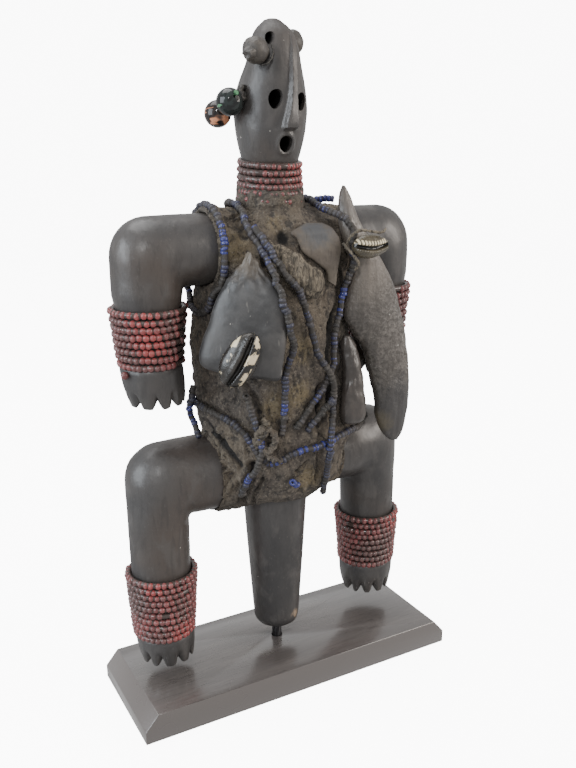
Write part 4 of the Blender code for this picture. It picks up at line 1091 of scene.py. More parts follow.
# Brow balls: two lumps of wood let into seats on either side
# of the crown. Each has the rough stub of a branch
rough_wood, tree, shader, here = finish_of("rough_oiled_wood", 0.5)
lump_patch = speckle(tree, here, 120, 4, 0.65)
pits = speckle(tree, here, 900, 3, 0.6)
ball_colour = coats(
    tree, (0.038, 0.034, 0.031),
    (ranged(tree, lump_patch, 0.35, 0.65), (0.066, 0.057, 0.048)),
    (ranged(tree, pits, 0.6, 0.75, 0.0, 0.6), (0.17, 0.145, 0.12)))
paint(tree, shader, ball_colour)
relief(tree, shader, [(lump_patch, 0.5), (pits, 0.12)])


def facing(phi):
    """The directions across and out of something that faces phi degrees to the left of the front."""
    turn = math.radians(phi)
    return Vector((math.cos(turn), math.sin(turn), 0)), Vector((math.sin(turn), -math.cos(turn), 0))


def tube_ring(centre, aim, radius, sides, wobble=0.0, seed=0.0):
    """A ring of points about a line that goes along aim, radius in millimetres."""
    first = aim.orthogonal().normalized()
    second = aim.cross(first)
    ring = []
    for k in range(sides):
        turn = 2 * math.pi * k / sides
        away = (first * math.cos(turn) + second * math.sin(turn)).normalized()
        lumpy = 1 + wobble * noise.noise(away * 1.7 + Vector((seed, 0, radius)))
        ring.append(centre + away * radius * MM * lumpy)
    return ring


for name, (centre, outward) in BROW_BALLS.items():
    lump = round_lump(name + "_brow_lump", centre, BROW_BALL_RADIUS)
    aim = Vector(outward).normalized()
    middle = spot(*centre)
    stub = skin("stub", [tube_ring(middle + aim * reach * MM, aim, radius, 24, wobble, 3.0)
                         for reach, radius, wobble in ((3.0, 3.4, 0), (5.2, 2.8, 0.25), (6.4, 2.3, 0.35),
                                                       (7.2, 2.0, 0.5), (7.4, 1.1, 0.5), (6.8, 0.4, 0.2))])
    cut_by(lump, [stub], "UNION")
    work_surface(lump, lambda point, normal: (0.3 * cloud(point, 4.5, 6.0, 3)
                                              + 0.10 * cloud(point, 1.3, 2.0, 2) - 0.15))
    smooth_under(lump, 60)
    dress(lump, rough_wood, [name + "_brow_ball"])

# Ear beads: two large wound glass beads, green and orange, each marbled with black. They hang
# from the right ear on a waxed cord that is knotted between the head and the green bead
EAR_BEADS = {"green": (-21.1, -5.8, 272.3), "orange": (-21.8, 5.0, 267.9)}
EAR_BEAD_RADIUS = 5.7


def marbled_glass(name, veins, body, light, seed):
    """Glossy wound glass: a dark body, veined, with a few lighter clouds in it."""
    made, tree, shader, here = finish_of(name, 0.1)
    flow = speckle(tree, here, 150 + seed, 3, 0.5, (1, 1.6, 0.8), 2.2)
    drift = speckle(tree, here, 95 + seed, 2, 0.5, (1, 1, 1.4), 1.2)
    colour = coats(
        tree, veins,
        (ranged(tree, flow, 0.42, 0.54), body),
        (ranged(tree, drift, 0.61, 0.65), light))
    paint(tree, shader, colour)
    shader.inputs["IOR"].default_value = 1.4
    relief(tree, shader, [(drift, 0.15)])
    return made


def cord_along(name, places, radius, material, nodes=(), ply=2, fray=0.0):
    """A twisted cord through places of the drawing, its radius in millimetres."""
    path = [spot(*p) for p in flowing(places, False, 0.5)]
    rings = []
    travelled = 0.0
    side = (path[1] - path[0]).orthogonal().normalized()
    for i, point in enumerate(path):
        ahead = (path[min(i + 1, len(path) - 1)] - path[max(i - 1, 0)]).normalized()
        side = (side - ahead * side.dot(ahead)).normalized()
        second = ahead.cross(side)
        if i:
            travelled += (point - path[i - 1]).length / MM
        ring = []
        for k in range(10):
            turn = 2 * math.pi * k / 10
            swell = 1 + 0.22 * math.cos(ply * (turn - travelled * 1.1)) + fray * noise.noise(point / MM * 1.3)
            thin = min(1.0, 0.45 + (len(path) - 1 - i) * 0.12)
            away = side * math.cos(turn) + second * math.sin(turn)
            ring.append(point + away * radius * MM * swell * thin)
        rings.append(ring)
    cord = skin(name, rings)
    smooth_under(cord, 70)
    return dress(cord, material, nodes)


def between(a, b, c, d, t):
    """The place a share t of the way from b to c, on a smooth path from a to d."""
    return 0.5 * (2 * b + (c - a) * t + (2 * a - 5 * b + 4 * c - d) * t ** 2
                  + (3 * b - a - 3 * c + d) * t ** 3)


def flowing(points, closed, step=1.5):
    """A smooth path through the guide points, divided at about this step."""
    path = []
    count = len(points)
    for i in range(count if closed else count - 1):
        a, b, c, d = [Vector(points[k % count] if closed else points[min(max(k, 0), count - 1)])
                      for k in range(i - 1, i + 3)]
        pieces = max(2, round((c - b).length / step))
        for k in range(pieces):
            path.append(between(a, b, c, d, k / pieces))
    if not closed:
        path.append(Vector(points[-1]))
    return path


bead_glass = {"green": marbled_glass("green_marbled_glass", (0.011, 0.012, 0.012), (0.020, 0.025, 0.024),
                                     (0.10, 0.25, 0.13), 0),
              "orange": marbled_glass("orange_marbled_glass", (0.013, 0.012, 0.012), (0.028, 0.021, 0.019),
                                      (0.62, 0.27, 0.15), 17)}
cord_run = (Vector(EAR_BEADS["orange"]) - Vector(EAR_BEADS["green"])).normalized()
for name, centre in EAR_BEADS.items():
    glass_ball = round_lump(name + "_ear_glass", centre, EAR_BEAD_RADIUS, 56, 36)
    bore = skin("bore", [tube_ring(spot(*centre) + cord_run * reach * MM, cord_run, radius, 20)
                         for reach, radius in ((-8, 2.4), (-5.9, 1.25), (-5.0, 0.85), (5.0, 0.85),
                                               (5.9, 1.25), (8, 2.4))])
    cut_by(glass_ball, [bore])
    smooth_under(glass_ball, 50)
    dress(glass_ball, bead_glass[name], [name + "_ear_bead"])

waxed_cord, tree, shader, here = finish_of("waxed_black_cord", 0.6)
lint = speckle(tree, here, 1500, 2, 0.6)
paint(tree, shader, tint(tree, ranged(tree, lint, 0.5, 0.75), (0.016, 0.014, 0.012), (0.09, 0.078, 0.064)))
relief(tree, shader, [(lint, 0.1)])
cord_along("ear_cord", [(-13.0, -3.0, 276.5), (-16.4, -5.7, 276.0), (-18.9, -8.2, 274.8),
                        (-20.2, -10.9, 273.6), (-20.7, -10.1, 272.6), (-21.1, -5.8, 272.3),
                        (-21.5, -0.4, 270.1), (-21.8, 5.0, 267.9), (-22.1, 9.9, 266.0), (-22.7, 11.5, 263.6)],
           0.8, waxed_cord, fray=0.3)
cord_along("ear_knot", [(-13.6, -5.0, 277.4), (-15.9, -6.8, 278.2), (-17.0, -8.4, 275.3),
                        (-15.9, -8.4, 273.3), (-14.6, -6.8, 274.9), (-15.6, -5.6, 276.6),
                        (-17.3, -7.1, 277.6)],
           1.1, waxed_cord, fray=0.5)
cord_along("forehead_cord", [(-5.4, -13.6, 294.4), (-5.4, -15.0, 292.4), (-6.2, -16.0, 290.0),
                             (-7.6, -16.8, 288.0), (-9.4, -17.0, 286.6), (-11.2, -16.4, 286.0)],
           0.45, waxed_cord, fray=0.3)


# Charms: a flat tab and a pouch of oiled hide, a packet of crusted fibre, and
# two long seed pods. They are bound to the chest and the left shoulder, and
# everything on them is rubbed, scratched and grown over with the same crust
POUCH_ROWS = [(-7.4, 213.3, -4.6, 212.4, 1.4), (-10, 208, -1.0, 207, 3.2), (-15.3, 203, 3.5, 201, 4.4),
              (-20.2, 194.5, 9.0, 194, 5.0), (-23.7, 184.5, 9.5, 184.5, 5.6), (-27.8, 174.5, 9.0, 175, 6.2),
              (-28.2, 167.5, 7.6, 166.5, 6.0), (-25.3, 163.8, 7.0, 160.5, 4.8), (-21.5, 163, 5.0, 158.0, 2.6)]
PACKET_ROWS = [(-13.2, 214.8, -9.5, 216.6, 1.0), (-11.5, 208.8, -3.5, 213.8, 2.2),
               (-7.6, 203.2, 3.4, 208.2, 3.2), (-3.2, 197.8, 9.0, 204, 3.6), (0.8, 193.6, 12.3, 197.6, 3.2),
               (5.2, 190.8, 11.4, 192.4, 1.6)]
TAB_ROWS = [(7.0, 222.8, 14.5, 222.5, 0.9), (-2.4, 219.9, 17.8, 220.2, 1.1), (-0.7, 216.6, 20.0, 216, 1.1),
            (1.7, 211, 20.4, 211, 1.1), (8.4, 206.0, 19.4, 206.4, 1.1), (12.8, 202.8, 18.8, 203.2, 1.1),
            (13.8, 198, 18.0, 195.5, 1.0)]
POD_ROWS = [(26.6, 237.8, 27.8, 237.6, 0.8), (25, 234, 30, 234, 2.2), (23.8, 228, 31.5, 228, 3.4),
            (23.3, 221.5, 34.2, 220.5, 4.4), (25, 212, 39, 212, 5.4), (28, 203, 44.5, 203.5, 6.2),
            (26.5, 193, 50, 194, 6.6), (24, 182, 53.8, 183, 6.8), (28.5, 172.5, 56.5, 173, 6.5),
            (34.2, 164.3, 58.2, 163.7, 6.2), (38, 152, 59.8, 152, 5.8), (41.2, 140, 60, 140, 5.4),
            (42, 130.5, 59, 131, 4.8), (45.9, 121.5, 57, 122, 3.6), (49.8, 118, 54, 117.6, 1.6)]
INNER_POD_ROWS = [(22.8, 172.6, 25.4, 172.2, 1.2), (20.8, 169, 28.4, 168, 2.8),
                  (20.6, 157.2, 30.2, 157.2, 3.6), (19.6, 147, 31.2, 147, 4.0),
                  (18.6, 138.5, 31.8, 138.5, 4.0), (20.2, 133, 31.4, 133, 3.2),
                  (23.5, 130.9, 29.0, 130.8, 1.6)]
FAR = 75.0


def solid_tree(node):
    """A search tree of a solid's faces."""
    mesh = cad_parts[node].data
    return BVHTree.FromPolygons([v.co for v in mesh.vertices], [tuple(f.vertices) for f in mesh.polygons])


def on_front(phi, across, stand, height):
    """Place of a charm's point in the scene."""
    sideways, out = facing(phi)
    flat = sideways * across + out * stand
    return spot(flat.x, flat.y, height)


def stand_of(tree, phi, across, height, half):
    """How far from the axis the middle of the charm stands here, found from the back of its solid."""
    out = facing(phi)[1]
    hit = tree.ray_cast(on_front(phi, across, 0, height), out, FAR * MM)[0]
    if hit is None:
        return None
    return (hit - on_front(phi, across, 0, height)).dot(out) / MM + half


def charm_form(node, name, phi, rows, lift, square=2.0, sides=80, step=0.7):
    """A flattened form through its rows, set where its solid is, with lift(place, normal) worked in."""
    tree = solid_tree(node)
    out = facing(phi)[1]
    middle_rows = []
    for i, (left, left_height, right, right_height, half) in enumerate(rows):
        stand = stand_of(tree, phi, (left + right) / 2, (left_height + right_height) / 2, half)
        middle_rows.append([left, left_height, right, right_height, half, stand])
    known = [i for i, row in enumerate(middle_rows) if row[5] is not None]
    for i, row in enumerate(middle_rows):
        if row[5] is None:
            row[5] = middle_rows[min(known, key=lambda k: abs(k - i))][5]
    rings = []
    fine = []
    for i in range(len(middle_rows) - 1):
        a, b, c, d = [np.array(middle_rows[min(max(k, 0), len(rows) - 1)]) for k in range(i - 1, i + 3)]
        length = abs((b[1] + b[3] - c[1] - c[3]) / 2)
        pieces = max(2, round(length / step))
        for k in range(pieces):
            fine.append(between(a, b, c, d, k / pieces))
    fine.append(np.array(middle_rows[-1]))
    for left, left_height, right, right_height, half, stand in fine:
        low, high = on_front(phi, left, stand, left_height), on_front(phi, right, stand, right_height)
        ring = []
        for k in range(sides):
            turn = 2 * math.pi * k / sides
            c, s = math.cos(turn), math.sin(turn)
            reach = (abs(c) ** square + abs(s) ** square) ** (-1 / square)
            ring.append((low + high) / 2 + (high - low) / 2 * c * reach + out * half * MM * s * reach)
        rings.append(ring)
    for end in (0, -1):
        middle = sum(rings[end], Vector()) / sides
        caps = [[middle + (p - middle) * share for p in rings[end]] for share in (0.75, 0.4, 0.1)]
        rings = list(reversed(caps)) + rings if end == 0 else rings + caps
    made = skin(name, rings)
    work_surface(made, lift)
    smooth_under(made, 75)
    return made


def ridge(value, width):
    """One along a line and nought beyond width, with a round top."""
    return max(0.0, 1 - (value / width) ** 2)


def pouch_lift(point, normal):
    """Smooth hide over an uneven filling, crumpled where it is tied at the top."""
    height = point.z
    top = held((height - 196) / 12)
    creases = cloud(Vector((point.x * 1.2, point.y * 1.2, point.z * 0.45)), 3.6, 8.0, 3)
    seam = ridge(point.x * 0.85 + point.y * 0.53 + 0.02 * height - 2.5, 1.2)
    return (0.45 * cloud(point, 14, 1.0, 2) + 0.10 * cloud(point, 3, 7.0, 2) - 0.2
            + top * (1.5 * creases - 0.3) + 0.15 * seam)


def packet_lift(point, normal):
    """Matted fibre under crust."""
    drawn_out = Vector((point.x, point.y, point.z * 0.5))
    return 0.9 * cloud(point, 5, 4.0, 4) + 0.55 * cloud(drawn_out, 1.6, 2.0, 3) - 0.1


def tab_lift(point, normal):
    """Stiff hide with an uneven cut edge."""
    return 0.28 * cloud(point, 6, 2.5, 3) + 0.08 * cloud(point, 1.6, 1.0, 2)


def pod_lift(point, normal):
    """A dried pod: long shallow furrows, and crust in lumps on its lower half."""
    furrow = 0.3 * cloud(Vector((point.x * 1.6, point.y * 1.6, point.z * 0.12)), 5.5, 5.0, 3)
    crusty = held((190 - point.z) / 25) * held((point.z - 125) / 20)
    lumps = 0.45 * cloud(point, 6.0, 3.0, 4) + 0.25 * max(cloud(point, 1.8, 9.0, 2), 0)
    return furrow + crusty * lumps - 0.15


pouch = charm_form("chest_pouch", "hide_pouch", -32, POUCH_ROWS, pouch_lift, 2.3)
packet = charm_form("crusted_packet", "fibre_packet", -5, PACKET_ROWS, packet_lift, 2.2, 90, 0.5)
tab = charm_form("hide_tab", "stiff_hide_tab", 0, TAB_ROWS, tab_lift, 3.0, 90, 0.5)
pod = charm_form("shoulder_pod", "long_shoulder_pod", 0, POD_ROWS, pod_lift, 2.1, 96, 0.7)
inner = charm_form("inner_pod", "small_inner_pod", 0, INNER_POD_ROWS, pod_lift, 2.1, 60, 0.7)


slate_hide, tree, shader, here = finish_of("slate_hide", 0.42)
cloudy = speckle(tree, here, 75, 4, 0.6)
nicks = speckle(tree, here, 380, 2, 0.5, (1, 1, 0.25))
flecks = speckle(tree, here, 750, 2, 0.5)
hide_colour = coats(
    tree, (0.030, 0.0295, 0.030),
    (ranged(tree, cloudy, 0.35, 0.65), (0.056, 0.054, 0.053)),
    (near(tree, here, (-4, -32, 178), 5, 15, 5, (1, 1, 0.45)), (0.052, 0.042, 0.036)),
    (near(tree, here, (-20, -20, 210), 5, 15, 6), (0.10, 0.083, 0.064)),
    (ranged(tree, nicks, 0.66, 0.74, 0.0, 0.6), (0.16, 0.15, 0.135)),
    (ranged(tree, flecks, 0.76, 0.80, 0.0, 0.9), (0.45, 0.43, 0.38)))
paint(tree, shader, hide_colour, ranged(tree, cloudy, 0.3, 0.7, 0.36, 0.55))
relief(tree, shader, [(cloudy, 0.4), (nicks, 0.12)])
dress(pouch, slate_hide, ["chest_pouch"])

tan_hide, tree, shader, here = finish_of("tan_hide", 0.62)
veil = speckle(tree, here, 90, 4, 0.6)
scrape = speckle(tree, here, 520, 3, 0.6, (1.4, 1, 0.3))
tab_colour = coats(
    tree, (0.070, 0.056, 0.044),
    (ranged(tree, veil, 0.35, 0.65), (0.108, 0.090, 0.068)),
    (near(tree, here, (9, -25, 219), 2.5, 9, 4, (0.8, 1, 1)), (0.052, 0.054, 0.058)),
    (ranged(tree, scrape, 0.55, 0.7, 0.0, 0.6), (0.036, 0.029, 0.022)))
paint(tree, shader, tab_colour)
relief(tree, shader, [(veil, 0.4), (scrape, 0.12)])
dress(tab, tan_hide, ["hide_tab"])

matted, tree, shader, here = finish_of("matted_fibre", 0.9)
strands_seen = speckle(tree, here, 420, 4, 0.7, (1.6, 1.6, 0.3), 1.2)
specks = speckle(tree, here, 1100, 2, 0.6)
fibre_colour = coats(
    tree, (0.040, 0.034, 0.026),
    (ranged(tree, strands_seen, 0.38, 0.66), (0.185, 0.155, 0.115)),
    (ranged(tree, specks, 0.70, 0.78, 0.0, 0.8), (0.42, 0.39, 0.33)),
    # Painted shade: the fibre goes darker where its surface sinks
    (ranged(tree, mark_of(tree, "raised"), -0.3, -1.2), (0.015, 0.013, 0.010)))
paint(tree, shader, fibre_colour)
relief(tree, shader, [(strands_seen, 0.6), (specks, 0.15)])
dress(packet, matted, ["crusted_packet"])

pod_shell, tree, shader, here = finish_of("dried_pod_shell", 0.48)
length_grain = speckle(tree, here, 210, 4, 0.6, (1.5, 1.5, 0.16), 0.5)
blotch = speckle(tree, here, 60, 4, 0.6)
scab = speckle(tree, here, 560, 4, 0.7)
glint_specks = speckle(tree, here, 620, 4, 0.7)
# Painted highlights: white glints dotted over the glossy patch of the pod
shining = near_any(tree, here, [((45, -24, 180), 2, 11), ((50, -24, 164), 2, 10)], 4)
glints = reckon(tree, "MULTIPLY", ranged(tree, glint_specks, 0.60, 0.68), ranged(tree, blotch, 0.45, 0.55))
scabby = near(tree, here, (43, -24, 172), 14, 30, 8, (1, 1, 0.62))
pod_colour = coats(
    tree, (0.078, 0.069, 0.062),
    (ranged(tree, blotch, 0.36, 0.64), (0.118, 0.104, 0.092)),
    (ranged(tree, length_grain, 0.48, 0.68, 0.0, 0.65), (0.040, 0.034, 0.028)),
    (reckon(tree, "MULTIPLY", scabby, ranged(tree, scab, 0.4, 0.6)), (0.050, 0.044, 0.038)),
    (near(tree, here, (32, -20, 205), 8, 26, 4), (0.130, 0.112, 0.094)),
    # painted white glints
    (reckon(tree, "MULTIPLY", shining, glints), (0.52, 0.51, 0.48)),
    (near(tree, here, (52, -24, 134), 8, 17, 4, (1, 1, 0.7)), (0.042, 0.039, 0.038)),
    (near(tree, here, (42, -26, 128), 2, 9, 5), (0.085, 0.072, 0.050)))
paint(tree, shader, pod_colour, ranged(tree, scab, 0.4, 0.65, 0.3, 0.62))
relief(tree, shader, [(length_grain, 0.25), (reckon(tree, "MULTIPLY", scabby, scab), 0.6)])
dress(pod, pod_shell, ["shoulder_pod"])

dark_pod, tree, shader, here = finish_of("dark_pod_shell", 0.34)
dull = speckle(tree, here, 160, 4, 0.6, (1, 1, 0.4))
paint(tree, shader, tint(tree, ranged(tree, dull, 0.35, 0.68), (0.034, 0.029, 0.026), (0.064, 0.054, 0.048)))
relief(tree, shader, [(dull, 0.4)])
dress(inner, dark_pod, ["inner_pod"])


# Cowries: two worn sea shells sewn on with their toothed slots outward, one on the pouch and one on the
# long pod. Their backs are stained brown, and the old white shows only in patches or along the teeth
def cowrie_shell(node, name, phi, low, high, half_width, half_thick, slot_shift, bow=0.9):
    """An egg-shaped shell whose two lips roll into a narrow bent slot with teeth along it."""
    tree = solid_tree(node)
    length = math.hypot(high[0] - low[0], high[1] - low[1])
    along = ((high[0] - low[0]) / length, (high[1] - low[1]) / length)
    aside = (along[1], -along[0])
    middle = [(low[i] + high[i]) / 2 for i in (0, 1)]
    stand = stand_of(tree, phi, middle[0], middle[1], half_thick)
    rings = []
    sides = 110

    def slot_at(share):
        """How far aside the middle of the slot lies, this share of the way along."""
        return slot_shift + bow * math.sin(math.pi * share) - bow * 0.4

    for t in np.linspace(0.0, 1.0, 74):
        share = 0.5 - 0.5 * math.cos(math.pi * t)
        egg = math.sqrt(max(1 - (2 * share - 1) ** 2, 0.0)) * (1 + 0.10 * math.cos(math.pi * share))
        egg = max(egg, 0.05)
        ring = []
        for k in range(sides):
            turn = 2 * math.pi * k / sides
            turn -= 0.25 * math.sin(2 * turn)
            c, s = math.cos(turn), math.sin(turn)
            offset = half_width * egg * c
            out = half_thick * egg * s
            from_slot = offset - slot_at(share) * egg
            open_half = 0.75 * (0.5 + 0.5 * math.sin(math.pi * share))
            if s > 0 and 0.05 < share < 0.95:
                inward = held((open_half + 0.55 - abs(from_slot)) / 0.7)
                out -= 1.9 * inward * inward * (3 - 2 * inward) * min(share / 0.1, (1 - share) / 0.1, 1.0)
                lip = bell(abs(from_slot) - open_half - 1.2, 1.0)
                ribs = 0.5 + 0.5 * math.cos(share * length / 1.25 * 2 * math.pi)
                out += lip * (0.30 + 0.30 * ribs)
            flat = [low[i] + along[i] * length * share + aside[i] * offset for i in (0, 1)]
            ring.append(on_front(phi, flat[0], stand + out, flat[1]))
        rings.append(ring)
    made = skin(name, rings)
    lips = made.data.attributes.new("lip", "FLOAT", "POINT")
    lengths = made.data.attributes.new("along", "FLOAT", "POINT")
    sideways, outward = facing(phi)
    for vertex, mark, gone in zip(made.data.vertices, lips.data, lengths.data):
        local = drawing_of(vertex.co)
        across, height = local.dot(sideways), local.z
        share = ((across - low[0]) * along[0] + (height - low[1]) * along[1]) / length
        offset = (across - low[0]) * aside[0] + (height - low[1]) * aside[1]
        front = local.dot(outward) > stand
        mark.value = offset - slot_at(held(share)) if front else 9.0
        gone.value = share * length
    smooth_under(made, 70)
    return made


def shell_finish(name, back_dark, back_light, lip_from, lip_to, lip_share, toothed):
    """A stained shell, with cream left between two distances from the slot, in patches or on the teeth."""
    made, tree, shader, here = finish_of(name, 0.3)
    stain = speckle(tree, here, 230, 4, 0.6)
    fine = speckle(tree, here, 900, 3, 0.6)
    lip = mark_of(tree, "lip")
    colour = tint(tree, ranged(tree, stain, 0.35, 0.65), back_dark, back_light)
    on_lip = reckon(tree, "MULTIPLY", ranged(tree, lip, lip_from - 0.3, lip_from + 0.2),
                    ranged(tree, lip, lip_to + 0.3, lip_to - 0.2))
    if toothed:
        wave = reckon(tree, "SINE", reckon(tree, "MULTIPLY", mark_of(tree, "along"), 2 * math.pi / 1.45), 0.0)
        on_lip = reckon(tree, "MULTIPLY", on_lip, ranged(tree, wave, -0.45, 0.1))
    worn_lip = reckon(tree, "MULTIPLY", on_lip, ranged(tree, stain, 0.5 - lip_share, 0.55 - lip_share))
    if not toothed:
        far_rim = reckon(tree, "MULTIPLY", ranged(tree, lip, -4.7, -5.3), ranged(tree, stain, 0.52, 0.56))
        worn_lip = reckon(tree, "MAXIMUM", worn_lip, far_rim)
    colour = tint(tree, worn_lip, colour, (0.66, 0.56, 0.38))
    # Painted shade: near black down the slot between the lips
    slot_shade = reckon(tree, "MULTIPLY", ranged(tree, lip, -1.1, -0.6), ranged(tree, lip, 1.1, 0.6))
    colour = tint(tree, slot_shade, colour, (0.008, 0.007, 0.006))
    paint(tree, shader, colour, ranged(tree, fine, 0.4, 0.7, 0.2, 0.45))
    relief(tree, shader, [(fine, 0.06), (stain, 0.2)])
    return made


grey_shell = shell_finish("stained_grey_shell", (0.013, 0.012, 0.011), (0.030, 0.026, 0.022), 1.2, 4.6, 0.03,
                          False)
olive_shell = shell_finish("stained_olive_shell", (0.050, 0.042, 0.028), (0.10, 0.084, 0.056), -3.0, -1.0,
                           0.15, True)
dress(cowrie_shell("pouch_cowrie", "pouch_shell", -32, (-15.3, 160.0), (-3.4, 182.0), 7.2, 4.4, 0.6),
      grey_shell, ["pouch_cowrie"])
dress(cowrie_shell("shoulder_cowrie", "shoulder_shell", 0, (22.6, 212.4), (40.9, 212.6), 5.2, 4.0, -0.4, 1.6),
      olive_shell, ["shoulder_cowrie"])
cord_along("cowrie_binding", [(21, -29, 212), (21.6, -32, 217), (24.5, -34.2, 219.6), (29, -35, 219.4),
                              (33, -35, 218.6), (36.6, -34, 218.3), (40, -32, 219.6)],
           0.55, matted, fray=0.6)
cord_along("cowrie_binding_below", [(20.5, -28, 214), (22.6, -33.5, 209), (24.6, -34, 205.6),
                                    (24, -32, 202.4)],
           0.6, matted, fray=0.6)

# Bead strands: strings of small flat cobalt glass beads on fibre cord, wound over the shoulders, chest
# and waist. They are bedded in crust, and the glass shows its blue only in a few rubbed stretches
WAIST = [(-38, -6, 143), (-34, -17, 141), (-29, -22, 137), (-25, -25, 131), (-22, -26, 125), (-18, -27, 120),
         (-14, -29, 119), (-10, -30, 122), (-3, -31, 124.5), (5, -30, 124.5), (12, -29, 125.5),
         (20, -26, 127), (28, -20, 128), (36, -8, 131), (40, 3, 133), (36, 15, 137), (20, 26, 141),
         (0, 30, 143), (-20, 26, 144), (-34, 14, 144), (-38, 4, 144)]
BELLY_SIDE = [(-26, -24, 153), (-24, -25, 146), (-23, -26, 139), (-21, -27, 133), (-21, -27, 127),
              (-21, -26, 120), (-24, -24, 116), (-25, -23, 112), (-26, -22, 108), (-27, -20, 102)]
SHOULDER_LOOP = [(-30.5, -6, 230), (-30.5, -13, 226), (-30.5, -17, 220), (-31, -18.5, 214),
                 (-31.5, -18.5, 207), (-32, -15, 200), (-32.5, -8, 195), (-32.5, 2, 193), (-32, 11, 196),
                 (-31, 17, 203), (-30, 19.5, 212), (-30, 17, 221), (-30, 9, 228), (-30.5, 1, 231)]
NECK_LOOP = [(-11.8, -30, 132), (-11.2, -30, 137), (-10.4, -30, 145), (-10, -31, 152), (-9.8, -33, 159),
             (-9.0, -33, 167.3), (-9.6, -33, 175), (-12.3, -32, 183.3), (-13.4, -31, 191.5),
             (-14.2, -30, 198), (-16.6, -27, 205), (-18.2, -24, 213), (-19.6, -21, 219), (-20, -16, 226),
             (-18, -8, 231), (-18, 5, 231), (-12, 16, 227), (0, 20, 225), (12, 16, 227), (20, 6, 230),
             (17, -12, 229.5), (20.8, -20, 225), (25, -24, 220.5), (26, -25, 213), (26.2, -25, 204),
             (25, -25, 197), (22.5, -25, 190.5), (22, -26, 184.7), (18.6, -27, 177.5), (16.6, -28, 170.5),
             (15.8, -29, 162), (12.2, -30, 155), (5.4, -31, 148), (-1, -31, 140.5), (-6, -31, 134)]
CHEST_PAIR = [(-19.8, -21, 221), (-15.6, -25, 214.6), (-12.8, -28, 208), (-9.0, -30, 202.6),
              (-3.8, -31, 196.6), (-1.2, -30, 190), (2.0, -29, 183), (4.2, -29, 175.2), (6.8, -30, 166.2),
              (10.6, -31, 160), (13.8, -31, 151.6), (13.6, -30, 143), (13, -30, 135), (11.8, -30, 128),
              (11.4, -30, 119), (12.4, -28, 110), (12.6, -25, 102), (14, -23, 96.5)]
BELLY_PAIR = [(11.5, -30, 147.5), (7.5, -31, 142), (3, -31, 137), (-1, -31, 132.5)]
LEFT_SHOULDER = [(23, 10, 232), (29, 5, 231.5), (35, 0, 230)]
LOOSE_END = [(-7, -29, 110), (-2, -28, 105)]
SIDE_LOOP = [(-38, 1, 151), (-38.5, -1, 146), (-38.5, 2, 141), (-38.5, 4, 136), (-38.5, 1, 131),
             (-38, -1, 127)]

# Rubbed stretches where the cobalt shows: a place of the drawing and how far from it the blue goes
RUBBED = [((-31, -16, 221), 5), ((-32, -18, 215), 5), ((-18, -16, 226), 3), ((-16, -24, 212), 3.5),
          ((-12, -27, 197), 6), ((-10, -30, 145), 3), ((-14, -24, 214), 4), ((-3, -29, 196), 4.5),
          ((24, -23, 190), 5), ((0, -31, 125), 7), ((12, -30, 126), 6), ((-25, -23, 112), 3),
          ((-20, -27, 130), 4), ((-14, -29, 118), 5), ((-5, -29, 107), 5), ((15, -25, 97), 3),
          ((-38, 4, 140), 8), ((27, 4, 231), 9)]
SEED_BEAD = 3.25
SEED_PITCH = 1.85


def strand_tree(material):
    """Beads threaded on the edges of a path mesh."""
    bench = Bench("strung_beads")
    for name, kind, value in (("Bead", "NodeSocketObject", None), ("Cord radius", "NodeSocketFloat", 0.0005)):
        bench.ask(name, kind, value)
    line = bench.given("Geometry")
    bead_form = bench.node("GeometryNodeObjectInfo", {"Object": bench.given("Bead")}).outputs["Geometry"]
    wanted = bench.sum("GREATER_THAN", bench.kept_on("shown"), 0.5)
    size = bench.kept_on("size", "FLOAT_VECTOR")
    aimed = bench.node("FunctionNodeAlignRotationToVector", {"Vector": bench.kept_on("way", "FLOAT_VECTOR")},
                       axis="Z").outputs[0]
    strung = bench.node("GeometryNodeInstanceOnPoints",
                        {"Points": line, "Selection": wanted, "Instance": bead_form,
                                                         "Rotation": aimed, "Scale": size}).outputs[0]
    core = bench.node("GeometryNodeMeshToCurve", {0: line}).outputs[0]
    core = bench.node("GeometryNodeSetCurveRadius",
                      {"Curve": core, "Radius": bench.kept_on("lump")}).outputs[0]
    round_profile = bench.node("GeometryNodeCurvePrimitiveCircle",
                               {"Resolution": 7, "Radius": bench.given("Cord radius")}).outputs[0]
    core = bench.node("GeometryNodeCurveToMesh", {"Curve": core, "Profile Curve": round_profile,
                                                  "Fill Caps": True}).outputs[0]
    core = bench.stored(core, "hue", -1.0)
    joined = bench.node("GeometryNodeJoinGeometry")
    bench.group.links.new(bench.node("GeometryNodeRealizeInstances", {0: strung}).outputs[0],
                          joined.inputs[0])
    bench.group.links.new(core, joined.inputs[0])
    whole = bench.node("GeometryNodeRealizeInstances", {0: joined.outputs[0]}).outputs[0]
    bench.give(bench.node("GeometryNodeSetMaterial", {"Geometry": whole, "Material": material}).outputs[0])
    return bench


cobalt, tree, shader, here = finish_of("grimy_cobalt_beads", 0.35)
hue = mark_of(tree, "hue")
film = speckle(tree, here, 800, 3, 0.65)
soil = speckle(tree, here, 130, 3, 0.6)
dirt = coats(
    tree, (0.020, 0.018, 0.016),
    (ranged(tree, soil, 0.35, 0.65), (0.050, 0.043, 0.037)),
    (ranged(tree, film, 0.58, 0.70, 0.0, 0.45), (0.15, 0.135, 0.12)))
bead_colour = coats(
    tree, dirt,
    (ranged(tree, hue, 0.1, 0.55, 0.0, 0.8), (0.030, 0.032, 0.060)),
    (ranged(tree, hue, 0.5, 0.9), (0.030, 0.037, 0.165)),
    (reckon(tree, "MULTIPLY", ranged(tree, film, 0.56, 0.7), 0.35), (0.12, 0.115, 0.12)),
    (ranged(tree, hue, -0.2, -0.7), (0.026, 0.022, 0.019)))
paint(tree, shader, bead_colour, ranged(tree, hue, 0.1, 0.8, 0.66, 0.22))
relief(tree, shader, [(film, 0.35)])


